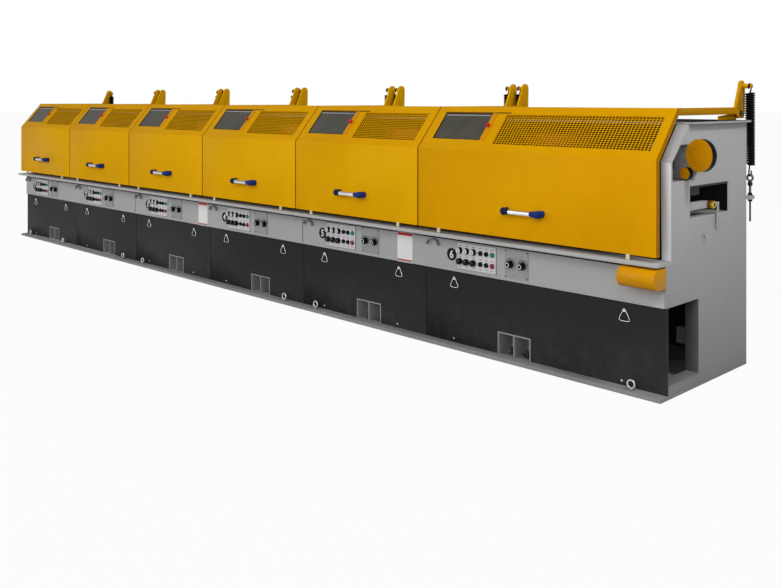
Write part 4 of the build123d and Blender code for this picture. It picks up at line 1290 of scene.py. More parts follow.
@dataclass
class Pulls:
    """The bent-wire pulls that hang on the lower panels."""

    shop: Workshop
    inset: float = 0.279
    z: float = 0.483
    half: float = 0.0385
    drop: float = 0.066
    corner: Span = (0.008, 0.012)
    neck: Span = (0.006, 0.004)
    neck_top: float = 0.010
    wire: float = 0.0026
    line_out: float = 0.006
    loop_r: float = 0.009
    loop_out: float = 0.0075
    screw: Turned = Turned(((0.0045, 0), (0.0045, 0.009), (0.0075, 0.010), (0.006, 0.0125)), 16)

    def build(self) -> None:
        """Adds each pull: a closed line of three round corners with a loop over a dome-headed screw."""
        shell = Shell()
        h, d = self.half, self.drop
        in_from, up = self.corner
        side, top = self.neck
        corners = (
            (-side, top), (-h, -d + up), (-h + in_from, -d), (h - in_from, -d), (h, -d + up), (side, top),
            (0, self.neck_top),
        )
        line = raised(smoothed(np.array(corners)), self.line_out)
        loop = raised(oval(around(20), self.loop_r, self.loop_r), self.loop_out)
        for n in ROW.numbers:
            for x in (ROW.left(n) + self.inset, ROW.right(n) - self.inset):
                place = ROW.front_face(x, ROW.panel_y, self.z)
                for path in (line, loop):
                    shell.tube(carried(path, place), self.wire, 8, closed=True, side=(0, -1, 0))
                self.screw.add(shell, place)
        self.shop.mount(shell.build("wire_pulls", 50), [CHROME], "machine", "bright_steel", ["panel_pulls"])


@dataclass
class Eyes:
    """The lifting eyes along the base's front edge."""

    shop: Workshop
    inset: float = 0.210
    extra: float = 1.150
    edge_in: float = 0.034
    ring: float = 0.024
    wire: float = 0.007
    stem: float = 0.016
    gap: float = 0.0015
    foot: Turned = Turned(
        ((0.0155, 0), (0.0165, 0.001), (0.0165, 0.006), (0.014, 0.008), (0.009, 0.011), (0.009, 0.020)), 24
    )

    def build(self) -> None:
        """Adds each eye, a round ring on a flanged stem, at both ends of each length and once beside."""
        joints = [ROW.far, *(ROW.right(n) for n in ROW.lengths_end), ROW.near]
        places = [ROW.far + self.extra]
        for low, high in zip(joints[:-1], joints[1:]):
            places.append(low + (self.gap if low != ROW.far else 0) + self.inset)
            places.append(high - (self.gap if high != ROW.near else 0) - self.inset)
        shell = Shell()
        z = ROW.base_top + self.stem + self.ring - self.wire / 2
        y = ROW.front + self.edge_in
        for x in places:
            shell.eye((x, y, z), self.ring, self.ring, self.wire, 32, 14)
            self.foot.add(shell, Matrix.Translation((x, y, ROW.base_top)))
        piece = shell.build("lifting_eye_bolts", 50)
        self.shop.mount(piece, [ZINC], "machine", "dark_steel", ["lifting_eyes"])


@dataclass
class Controls:
    """The switch and regulator plates with their knobs, numbers and notice plates.

    The knobs' slots are 0 black, 1 white, 2 bright, 3 green and 4 red, and the sheets' are 0 white,
    1 grey, 2 zinc and 3 black.
    """

    shop: Workshop
    plate_z: float = 0.652
    row_up: float = 0.038
    plate_t: float = 0.0046
    selectors: Places = (0.344, 0.406, 0.468)
    lamps: Places = (0.532, 0.584)
    button: float = 0.635
    regulators: Places = (0.788, 0.890)
    regulator_up: float = -0.004
    sheet_ends: Span = (0.314, 0.670)
    sheet_margin: float = 0.005
    sheet_h: float = 0.180
    sheet_t: float = 0.0006
    steel_ends: Span = (0.742, 0.936)
    screw_up: float = 0.086
    screw_in: Span = (0.010, 0.008)
    dash: Plate = Plate(0.026, 0.0045, 0.002, 0.0006, 0.0009, 1)
    dash_up: Places = (0.072, -0.005, -0.074)
    screw: Turned = Turned(((0.004, 0), (0.0035, 0.0022), (0.001, 0.0026)), 12, 2)
    stud: Turned = Turned(((0.005, 0), (0.0045, 0.0016), (0.001, 0.002)), 12, 3)
    selector_drum: Turned = Turned(
        ((0.0228, 0), (0.0232, 0.001), (0.0228, 0.006), (0.0215, 0.008), (0.0208, 0.024),
         (0.0200, 0.0252)), 32
    )
    dial: Turned = Turned(((0.0192, 0.0248), (0.0192, 0.0258)), 32, 1)
    selector_turn: float = 35.0
    selector_bar: Plate = Plate(0.0030, 0.018, 0.0014, 0.0256, 0.0275)
    pointer: Plate = Plate(0.0018, 0.010, 0.0008, 0.0275, 0.0278, 1)
    pointer_up: float = 0.005
    knob_base: Turned = Turned(((0.0222, 0), (0.0222, 0.002)), 28)
    knob_r: Places = (0.0222, 0.0226, 0.0218, 0.0204, 0.0160)
    knob_h: Places = (0.002, 0.004, 0.022, 0.025, 0.0268)
    flutes: int = 12
    flute: float = 0.035
    knob_mark: Plate = Plate(0.0016, 0.010, 0.0007, 0.0267, 0.0270, 1)
    mark_up: float = 0.006
    toggle_base: Turned = Turned(
        ((0.0176, 0), (0.0176, 0.003), (0.0160, 0.0045), (0.0150, 0.012), (0.0130, 0.0135)), 24
    )
    toggle_turn: float = 25.0
    toggle_bar: Plate = Plate(0.0090, 0.025, 0.003, 0.012, 0.021)
    push_collar: Turned = Turned(((0.0180, 0), (0.0180, 0.0035), (0.0168, 0.0050)), 28)
    push_cap: Profile = (
        (0.0164, 0.004), (0.0164, 0.0100), (0.0150, 0.0118), (0.0100, 0.0128), (0.002, 0.0131)
    )
    flange: Turned = Turned(
        ((0.0262, 0), (0.0262, 0.002), (0.0245, 0.0045), (0.0180, 0.006), (0.0180, 0.012)), 32
    )
    waist: Turned = Turned(
        ((0.0225, 0.011), (0.0238, 0.013), (0.0238, 0.030), (0.0205, 0.034), (0.0140, 0.035)), 32
    )
    bright_cap: Turned = Turned(
        ((0.0165, 0.0340), (0.0165, 0.0358), (0.0120, 0.0358), (0.0120, 0.0345)), 28, 2
    )
    arch_r: float = 0.021
    arch_up: float = 0.018
    arch_out: float = 0.012
    arch_wire: float = 0.0019
    number_inset: float = 0.262
    disc: Turned = Turned(((0.0440, 0), (0.0445, 0.0004), (0.0445, 0.0016), (0.0439, 0.002)), 48)
    digit_size: float = 0.076
    digit_bold: float = 0.0013
    digit_t: float = 0.0003
    digit_out: float = 0.0022
    notices: Places = (2.3925, -0.3565)
    notice_z: float = 0.645
    notice: Plate = Plate(0.158, 0.226, 0.003, 0, 0.001)
    notice_band: Plate = Plate(0.154, 0.022, 0.001, 0.001, 0.0013, 1)
    notice_band_up: float = 0.100

    def build(self) -> None:
        """Builds all that is on the band's face."""
        self.shop.softened("control_plates", PLATE, 0.0008)
        self.knobs()
        self.faces()
        for n in ROW.numbers:
            self.number(n)
        self.notice_plates()

    def at(self, n: int, inset: float, up: float) -> Matrix:
        """The frame on a plate's face, so far from module n's inlet side and so far above the middle."""
        return ROW.front_face(ROW.left(n) + inset, ROW.band_y - self.plate_t, self.plate_z + up)

    def faces(self) -> None:
        """Adds the pale legend sheet on each switch plate, a plain dash above each knob, and the screws."""
        shell = Shell()
        low, high = self.sheet_ends
        sheet = Plate(high - low - 2 * self.sheet_margin, self.sheet_h, 0.004, 0, self.sheet_t)
        heads = ((self.screw, self.sheet_ends), (self.stud, self.steel_ends))
        for n in ROW.numbers:
            sheet.add(shell, self.at(n, (low + high) / 2, 0))
            for inset in (*self.selectors, *self.lamps, self.button):
                for up in self.dash_up:
                    self.dash.add(shell, self.at(n, inset, up))
            for (head, ends), margin in zip(heads, self.screw_in):
                for inset in (ends[0] + margin, ends[1] - margin):
                    for up in (self.screw_up, -self.screw_up):
                        head.add(shell, self.at(n, inset, up))
        piece = shell.build("legend_sheets")
        self.shop.mount(piece, [FACE, MARK, ZINC, BLACKED_AND_PAINTED_SHADE], "machine", "bare_plate")

    def knobs(self) -> None:
        """Adds the selectors, round knobs, toggles, buttons and regulators."""
        shell = Shell()
        for n in ROW.numbers:
            for inset in self.selectors:
                self.selector(shell, self.at(n, inset, self.row_up))
                self.round_knob(shell, self.at(n, inset, -self.row_up))
            for inset in self.lamps:
                for up in (self.row_up, -self.row_up):
                    self.toggle_base.add(shell, self.at(n, inset, up))
                    self.toggle_bar.add(shell, turned_by(self.at(n, inset, up), self.toggle_turn))
            for up, slot in ((self.row_up, 3), (-self.row_up, 4)):
                self.push_collar.add(shell, self.at(n, self.button, up))
                shell.lathe(self.push_cap, self.at(n, self.button, up), 28, slot)
            for inset in self.regulators:
                self.regulator(shell, self.at(n, inset, self.regulator_up))
        piece = shell.build("control_knobs_turned", 40)
        finishes = [BLACK, FACE, CHROME, GREEN, MAROON]
        self.shop.mount(piece, finishes, "machine", "black_plastic", ["control_knobs"])

    def selector(self, shell: Shell, m: Matrix) -> None:
        """Adds a selector: a black drum with a white dial on its face and a black bar with a white pointer.

        Args:
            shell: The knobs under way.
            m: The frame on the plate.
        """
        self.selector_drum.add(shell, m)
        self.dial.add(shell, m)
        bar = turned_by(m, self.selector_turn)
        self.selector_bar.add(shell, bar)
        self.pointer.add(shell, bar @ Matrix.Translation((0, self.pointer_up, 0)))

    def round_knob(self, shell: Shell, m: Matrix) -> None:
        """Adds a fluted round knob: r(a) = r (1 + f cos 12a), for each of its radii and heights.

        Args:
            shell: The knobs under way.
            m: The frame on the plate.
        """
        angle = around(5 * self.flutes)
        radius, height = np.array((self.knob_r, self.knob_h))[:, :, None]
        spread = radius * (1 + self.flute * np.cos(self.flutes * angle))
        parts = (spread * np.cos(angle), spread * np.sin(angle), np.broadcast_to(height, spread.shape))
        shell.surface(carried(np.stack(parts, axis=-1), m), round_v=True, capped=True)
        self.knob_base.add(shell, m)
        self.knob_mark.add(shell, m @ Matrix.Translation((0, self.mark_up, 0)))

    def regulator(self, shell: Shell, m: Matrix) -> None:
        """Adds a regulator: a bright flange, a waisted knob with a bright cap, and a wire guard over it.

        The wire's line is an arch: r cos a along the plate and r sin a + h up it, on two short legs.

        Args:
            shell: The knobs under way.
            m: The frame on the plate.
        """
        for shape in (self.flange, self.waist, self.bright_cap):
            shape.add(shell, m)
        r = self.arch_r
        arch = raised(oval(np.linspace(0, np.pi, 17), r, r) + (0, self.arch_up), self.arch_out)
        feet = np.array(((r, 0.016, 0.0004), (r, 0.017, 0.008)))
        line = np.vstack((feet, arch, feet[::-1] * (-1, 1, 1)))
        shell.tube(carried(line, m), self.arch_wire, 8, side=(0.3, -0.2, 1))

    def number(self, n: int) -> None:
        """Adds a black disc with the module's own number on it.

        Args:
            n: The module's number.
        """
        shell = Shell()
        face = ROW.front_face(ROW.left(n) + self.number_inset, ROW.band_y, self.plate_z)
        self.disc.add(shell, face)
        self.shop.mount(shell.build(f"number_disc_{n}"), [BLACK], "machine", "black_plastic")
        curve = bpy.data.curves.new(f"number_{n}", "FONT")
        curve.body = str(n)
        curve.size = self.digit_size
        curve.offset = self.digit_bold
        curve.extrude = self.digit_t
        written = linked(f"number_{n}_line", curve)
        bpy.context.view_layer.update()
        mesh = bpy.data.meshes.new_from_object(written.evaluated_get(bpy.context.evaluated_depsgraph_get()))
        bpy.data.objects.remove(written)
        points = np.empty(len(mesh.vertices) * 3)
        mesh.vertices.foreach_get("co", points)
        points = points.reshape(-1, 3)
        middle = (points.min(0) + points.max(0)) / 2
        points += (-middle[0], -middle[1], self.digit_out)
        mesh.vertices.foreach_set("co", carried(points, face).ravel())
        mesh.update()
        mesh.materials.clear()
        self.shop.mount(linked(f"number_{n}", mesh), [WHITE], "machine", "bare_plate")

    def notice_plates(self) -> None:
        """Adds the two blank white plates with a red band at the top and the foot."""
        shell = Shell()
        for x in self.notices:
            m = ROW.front_face(x, ROW.band_y, self.notice_z)
            self.notice.add(shell, m)
            for up in (self.notice_band_up, -self.notice_band_up):
                self.notice_band.add(shell, m @ Matrix.Translation((0, up, 0)))
        self.shop.mount(shell.build("notice_plates"), [WHITE, RED], "machine", "bare_plate")


@dataclass
class GuardTrim:
    """A guard with its mesh, window, knob and handle."""

    shop: Workshop
    number: int
    window_inset: float = 0.088
    window_l: float = 0.446
    window_h: float = 0.238
    window_up: float = 0.092
    mesh_inset: float = 0.655
    mesh_end: float = 0.082
    mesh_up: float = 0.065
    mesh_h: float = 0.256
    sheet_t: float = 0.006
    seat: float = 0.0003
    lap: float = 0.012
    hole_pitch: Span = (0.0238, 0.0167)
    hole_size: Span = (0.0186, 0.0130)
    hole_corner: float = 0.25
    mesh_t: float = 0.002
    gasket_w: float = 0.006
    gasket_t: Span = (0.004, 0.002)
    bar_down: float = 0.016
    bar_short: float = 0.03
    handle_z: float = 1.019
    handle_out: float = 0.055
    handle_l: float = 0.322
    tube_r: float = 0.016
    tube_short: float = 0.05
    grip_r: float = 0.0175
    grip_mouth: float = 0.0165
    grip_start: float = 0.075
    bend_start: float = 0.030
    bend: Span = (0.012, 0.036)
    foot_gap: Span = (0.006, 0.0003)
    knob: Turned = Turned(
        ((0.011, 0), (0.009, 0.003), (0.009, 0.008), (0.015, 0.012), (0.0175, 0.017), (0.0165, 0.021),
         (0.011, 0.024)), 28, 2
    )
    knob_out: float = 0.0053
    stile_w: float = 0.042
    proud: float = 0.0006
    track_w: float = 0.0085
    lip_w: float = 0.03
    slope_to: float = 0.4
    stop_inset: float = 0.205
    stop_drop: float = 0.0125
    stop_sunk: float = 0.001
    stop_pad: Plate = Plate(0.024, 0.033, 0.004, 0, 0.0035)

    @property
    def body(self) -> str:
        """The body that the guard turns on."""
        return f"guard_{self.number}_body"

    @property
    def yellow(self) -> Enamel:
        """The guard's paint; the last guard's is a shade deeper."""
        return NEAR_YELLOW if self.number == max(ROW.numbers) else YELLOW

    @property
    def stile_x(self) -> float:
        """The middle of the stile beside the window."""
        return ROW.left(self.number) + self.window_inset + self.window_l + self.stile_w / 2

    def build(self) -> None:
        """Builds the guard's sheet and all that it carries."""
        others = [STOP, STILE, TRACK, LIP_PAINTED_SHADE, SLOPE_PAINTED_SHADE]
        self.shop.softened(f"guard_{self.number}", self.yellow, 0.0022, others=others, choose=self.parts)
        self.perforated()
        self.pane()
        self.handle()
        self.pads()

    def pads(self) -> None:
        """Adds the pale rubber pads of the stops at the guard's lower edge: rounded blocks on its face."""
        n = self.number
        shell = Shell()
        for x in (ROW.left(n) + self.stop_inset, ROW.right(n) - self.stop_inset):
            place = ROW.front_face(x, ROW.guard_y + self.stop_sunk, ROW.guard_bottom - self.stop_drop)
            self.stop_pad.add(shell, place)
        self.shop.mount(shell.build(f"stop_pads_{n}", 40), [STOP], self.body, "guard_yellow")

    def parts(self, middles: np.ndarray, normals: np.ndarray) -> np.ndarray:
        """Tells the guard's faces apart: 1 stops, 2 stile, 3 track on the slope, 4 lip at its end, 5 slope; 4
        and 5 take darker yellows as painted shade.

        Args:
            middles: The faces' middles.
            normals: The faces' normals.

        Returns:
            The number of each face's finish.
        """
        frame = np.array(ROW.slope(self.stile_x, 0.0))
        across, up, out = ((middles - frame[:3, 3]) @ frame[:3, :3]).T
        top = self.window_up + self.window_h
        x, y, z = middles.T
        outer = out > self.proud
        front = y < ROW.roof_y
        stop = z < ROW.guard_bottom - 0.0004
        stile = outer & (np.abs(across) < self.stile_w / 2 + 0.001) & (up < top + 0.0005)
        track = outer & (up > top - 0.0002) & (up < top + self.track_w)
        lip = front & (normals[:, 0] > FLAT_TO) & (x > ROW.right(self.number) - self.lip_w)
        slope = front & (normals[:, 2] > self.slope_to) & (z > ROW.guard_knee)
        return np.select([stop, stile, track, lip, slope], [1, 2, 3, 4, 5], 0)

    def perforated(self) -> None:
        """Adds the perforated sheet: one cell with a cornered hole, repeated by offsets (i px, j py).

        Each side of a cell has eight points round its hole, eight on its edge and four corners.
        """
        n = self.number
        low, high = ROW.left(n) + self.mesh_inset, ROW.right(n) - self.mesh_end
        size = np.array((high - low, self.mesh_h))
        count = np.round(size / self.hole_pitch).astype(int)
        pitch = size / count
        hx, hy = np.array(self.hole_size) / 2
        ox, oy = pitch / 2
        cut = 2 * self.hole_corner * min(hx, hy)
        sides = np.array(((0, -hy + cut), (0, hy - cut), (hx - cut, 0), (-hx + cut, 0)))
        sides = np.vstack((sides, -sides))
        reach = np.array(((1, 0), (1, 0), (0, 1), (0, 1), (-1, 0), (-1, 0), (0, -1), (0, -1)))
        corner = np.array(((ox, oy), (-ox, oy), (-ox, -oy), (ox, -oy)))
        flat = np.vstack((sides + reach * (hx, hy), sides + reach * (ox, oy), corner))
        front = [(0, 8, 9, 1), (2, 10, 11, 3), (4, 12, 13, 5), (6, 14, 15, 7)]
        front += [(1, 9, 16, 10, 2), (3, 11, 17, 12, 4), (5, 13, 18, 14, 6), (7, 15, 19, 8, 0)]
        back = [tuple(i + 20 for i in face[::-1]) for face in front]
        walls = [(i, (i + 1) % 8, 20 + (i + 1) % 8, 20 + i) for i in range(8)]
        cell = np.vstack((raised(flat, 0.0), raised(flat, -self.mesh_t)))
        index = np.stack(np.meshgrid(*(np.arange(k) for k in count), indexing="ij"), axis=-1).reshape(-1, 2)
        offsets = raised((index + 0.5) * pitch - size / 2, 0.0)
        place = ROW.slope((low + high) / 2, self.mesh_up + self.mesh_h / 2, -self.sheet_t - self.seat)
        shell = Shell()
        solid = front + back + walls
        faces = [tuple(k + 40 * c for k in face) for c in range(len(offsets)) for face in solid]
        shell.add(carried(cell[None] + offsets[:, None], place), faces)
        self.border(shell, place, size)
        piece = shell.build(f"mesh_sheet_{n}", 40, weld=True)
        self.shop.mount(piece, [SLOPE_PAINTED_SHADE], self.body, "guard_yellow", [f"mesh_panel_{n}"])

    def border(self, shell: Shell, place: Matrix, size: np.ndarray) -> None:
        """Adds the sheet's plain border, which lies behind the guard: four flat strips.

        Args:
            shell: The perforated sheet under way.
            place: The frame in the middle of the sheet.
            size: The width and height of its perforated part.
        """
        (w, h), b = size / 2, self.lap
        square = np.array(((-1, -1), (1, -1), (1, 1), (-1, 1))) / 2
        wide, tall = (2 * (w + b), b), (b, 2 * h)
        x, y = w + b / 2, h + b / 2
        for middle, strip in (((0, y), wide), ((0, -y), wide), ((x, 0), tall), ((-x, 0), tall)):
            shell.slab(square * strip + middle, -self.mesh_t, 0, place)

    def pane(self) -> None:
        """Adds the window's pane with its gasket, and the bright guide bar along its top.

        The gasket is a ring of four corners in section, each a round-cornered rectangle at a height.
        """
        n = self.number
        self.shop.paint(f"window_{n}", GLASS)
        x = ROW.left(n) + self.window_inset + self.window_l / 2
        place = ROW.slope(x, self.window_up + self.window_h / 2, -self.sheet_t)
        shell = Shell()
        outer, inner = (
            rounded(self.window_l - 2 * w, self.window_h - 2 * w, 0.005, 3) for w in (0, self.gasket_w)
        )
        high, low = self.gasket_t
        levels = [raised(*level) for level in ((outer, 0.0), (outer, high), (inner, low), (inner, 0.0))]
        shell.surface(carried(np.stack(levels), place), round_u=True, round_v=True)
        bar = Plate(self.window_l - self.bar_short, 0.010, 0.002, 0, 0.0025, 1)
        bar.add(shell, place @ Matrix.Translation((0, self.window_h / 2 - self.bar_down, 0)))
        self.shop.mount(shell.build(f"window_trim_{n}"), [GASKET_AND_PAINTED_SHADOW, CHROME], self.body, "tinted_glass")

    def handle(self) -> None:
        """Adds the handle and the window's knob: a bright tube, and two ends that bend back to the guard.

        An end's centre line is C(u) = (a sin u, b (1 - cos u)), a quarter of an ellipse after a straight
        run, and its half-axes grow along it.
        """
        n = self.number
        shell = Shell()
        x, y = ROW.middle(n), ROW.guard_y - self.handle_out
        half = self.handle_l / 2
        ends = np.linspace(x - half + self.tube_short, x + half - self.tube_short, 3)
        shell.tube(np.column_stack((ends, np.full(3, y), np.full(3, self.handle_z))), self.tube_r, 28)
        start = half - self.bend_start
        a, b = self.bend
        straight = raised(np.linspace(half - self.grip_start, start, 6)[:-1, None], 0.0)
        quarter = oval(np.linspace(-np.pi / 2, 0, 12), a, b) + (start, b)
        foot = [(start + a, self.handle_out - gap) for gap in self.foot_gap]
        line = np.vstack((straight, quarter, foot))
        share = np.linspace(0, 1, len(line))
        radius = self.grip_r + 0.0025 * np.sin(np.pi * np.clip(share * 1.2, 0, 1)) + 0.001 * share
        radius[0] = self.grip_mouth
        tall = 1.0 + 0.28 * np.sin(np.clip(share * 1.6, 0, 1) * np.pi / 2)
        # The left end takes the darker blue as painted shade, the right end the plain blue.
        for side, slot in ((-1, 3), (1, 1)):
            path = raised(line * (side, 1) + (x, y), self.handle_z)
            shell.tube(path, radius, 24, slot=slot, squash=tall)
        self.knob.add(shell, ROW.slope(self.stile_x, self.window_up + self.window_h / 2, self.knob_out))
        piece = shell.build(f"handle_set_{n}", 40)
        self.shop.mount(piece, [CHROME, BLUE, KNOB_RED, NAVY_PAINTED_SHADE], self.body, "handle_metal", [f"handle_{n}"])


@dataclass
class Counterbalance:
    """The pivots and, for each guard, its coil springs and their adjusters."""

    shop: Workshop
    collar_r: float = 0.0195
    collar_out: Span = (0.0105, 0.020)
    coil_r: float = 0.0268
    coil_end_r: float = 0.003
    wire_r: float = 0.0062
    turns: int = 30
    turn_steps: int = 16
    top: float = 1.801
    bottom: float = 1.314
    tail: float = 0.006
    hook_r: float = 0.0048
    hook_z: float = 1.8390
    hook_ring: float = 0.0205
    hook_turn: Span = (-40, 218)
    link_z: float = 1.262
    link_ring: float = 0.020
    link_turn: Span = (150, 408)
    eye_z: float = 1.2312
    eye_wide: float = 0.0185
    eye_high: float = 0.0202
    eye_wire: float = 0.0074
    collar: Turned = Turned(((0.0150, 1.178), (0.0172, 1.182), (0.0172, 1.200), (0.0120, 1.205)), 6, 1)
    nut: Fastener = Fastener(0.031, 0.014, 0.017, 0.003, slot=1)
    nut_gap: float = 0.0003
    rod_r: float = 0.0068
    upper_rod_r: float = 0.0090
    rod_bottom: float = 0.940
    thread: float = 0.0005
    thread_pitch: float = 0.003
    bracket_z: float = 1.115
    bracket_t: float = 0.024
    open_angle: float = 62.0
    weld: Turned = Turned(((0.014, 0), (0.0135, 0.0012), (0.010, 0.0018)), 24)

    def build(self) -> None:
        """Builds the pivots, anchors, adjusters, springs and weld pads."""
        self.shop.softened("pivot_brackets", YELLOW, 0.0015, others=[BLACKED_AND_PAINTED_SHADE], choose=self.collars)
        self.shop.softened("spring_anchors", GREY, 0.0015)
        self.adjusters()
        for n in ROW.numbers:
            self.springs(n)
            self.welds(n)

    def collars(self, middles: np.ndarray, normals: np.ndarray) -> np.ndarray:
        """Tells the shafts' dark end collars from the ears: those beyond the arms' outer faces.

        Args:
            middles: The faces' middles.
            normals: The faces' normals, which are not used.

        Returns:
            1 for a collar's face and 0 for an ear's.
        """
        near = np.hypot(middles[:, 1] - ROW.pivot_y, middles[:, 2] - ROW.pivot_z) < self.collar_r
        beyond = np.zeros(len(middles), dtype=bool)
        low, high = self.collar_out
        for n in ROW.numbers:
            for (x, _), side in zip(ROW.arms(n), (-1, 1)):
                out = side * (middles[:, 0] - x)
                beyond |= (out > low) & (out < high)
        return (near & beyond).astype(np.int32)

    def hook(self, x: float, start: Span, turn: Span, radius: float, z: float) -> np.ndarray:
        """The centre line of an open hook in Y and Z: a short run from the coil, then C + R (cos a, sin a).

        Args:
            x: Its place along X.
            start: Where it leaves the coil, as Y from the pins' line and Z.
            turn: The angles in degrees where its round part starts and ends.
            radius: R, to the wire's middle.
            z: The height of its middle C.

        Returns:
            The points of the line, evened out at the bend.
        """
        arc = oval(np.radians(np.linspace(*turn, 26)), radius, radius) + (0, z)
        share = np.linspace(0, 1, 7)[:-1, None]
        line = np.vstack((np.array(start) * (1 - share) + arc[0] * share, arc))
        for _ in range(3):
            line[1:-1] = (line[:-2] + 2 * line[1:-1] + line[2:]) / 4
        return stationed(x, line + (ROW.pin_y, 0))

    def springs(self, n: int) -> None:
        """Adds a guard's two springs, each a coil C(t) = (r cos wt, r sin wt, z(t)) with a hook at each end.

        The coil keeps its radius up to its ends, where half a turn draws in flat towards the hook.

        Args:
            n: The guard's number.
        """
        shell = Shell()
        t = np.linspace(-0.5, self.turns + 0.5, (self.turns + 1) * self.turn_steps + 1)
        angle = 2 * np.pi * t
        over = np.clip(np.maximum(-t, t - self.turns), 0, 0.5) * 2
        radius = self.coil_r - (self.coil_r - self.coil_end_r) * over ** 1.5
        low, high = self.bottom + self.wire_r, self.top - self.wire_r
        height = low + (high - low) * np.clip(t / self.turns, 0, 1)
        for x in ROW.spring_xs(n):
            coil = (x + radius * np.cos(angle), ROW.pin_y + radius * np.sin(angle), height)
            shell.tube(np.column_stack(coil), self.wire_r, 8)
            upper = self.hook(x, (0.002, self.top - self.tail), self.hook_turn, self.hook_ring, self.hook_z)
            foot = (-0.004, self.bottom + self.tail)
            lower = self.hook(x, foot, self.link_turn, self.link_ring, self.link_z)
            for line in (upper, lower):
                shell.tube(line, self.hook_r, 10, side=(1, 0, 0))
        piece = shell.build(f"coil_springs_{n}", 60)
        self.shop.mount(piece, [SPRING], "machine", "spring_black", [f"springs_{n}"])
        self.drawn(piece, n)

    def drawn(self, piece: bpy.types.Object, n: int) -> None:
        """Gives a guard's springs a mesh of their own.

        Args:
            piece: The springs.
            n: The guard's number, which is not used.
        """
        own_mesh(piece)

    def adjusters(self) -> None:
        """Adds the threaded rods, r + h (cos(2 pi z / p - a) - 1), with their eyes, collars and nuts."""
        shell = Shell()
        flip = Matrix.Rotation(math.pi, 4, "X")
        under = self.bracket_z - self.bracket_t
        spans = (
            (self.rod_bottom, under, self.rod_r, 1),
            (self.bracket_z, self.eye_z - self.eye_high, self.upper_rod_r, 0),
        )
        angle = around(8)[None]
        for n in ROW.numbers:
            for x in ROW.spring_xs(n):
                for start, end, radius, slot in spans:
                    z = np.linspace(start, end, int((end - start) / self.thread_pitch * 4))[:, None]
                    wave = np.cos(2 * np.pi * z / self.thread_pitch - angle) - 1
                    ridge = radius + self.thread * wave
                    parts = (x + ridge * np.cos(angle), ROW.pin_y + ridge * np.sin(angle), z + 0 * ridge)
                    shell.surface(np.stack(parts, axis=-1), round_v=True, capped=True, slot=slot)
                shell.eye((x, ROW.pin_y, self.eye_z), self.eye_wide, self.eye_high, self.eye_wire, 28, 10)
                self.collar.add(shell, Matrix.Translation((x, ROW.pin_y, 0)))
                self.nut.add(shell, Matrix.Translation((x, ROW.pin_y, self.bracket_z + self.nut_gap)))
                self.nut.add(shell, Matrix.Translation((x, ROW.pin_y, under - self.nut_gap)) @ flip)
        piece = shell.build("adjuster_rods", 40)
        self.shop.mount(piece, [DULL, BLACKED_AND_PAINTED_SHADE], "machine", "bright_steel", ["spring_adjusters"])

    def welds(self, n: int) -> None:
        """Adds the flat weld pads where the spring pins pass through a guard's levers.

        Args:
            n: The guard's number.
        """
        shell = Shell()
        for x, side in ROW.arms(n):
            place = Vector((x - side * ROW.arm_thick / 2, ROW.pin_y, ROW.pin_z))
            frame = framed(place, Vector((0, 1, 0)), Vector((0, 0, side)), Vector((-side, 0, 0)))
            self.weld.add(shell, frame)
        self.shop.mount(shell.build(f"pin_welds_{n}"), [YELLOW], f"guard_{n}_body", "guard_yellow")


class Wheel(Enum):
    """The two guide wheels at the outlet: node, radius, thickness, distance along the plate and height."""

    PULLEY = ("guide_pulley", 0.097, 0.042, 0.118, 1.424)
    ROLLER = ("guide_roller", 0.036, 0.036, 0.006, 1.311)


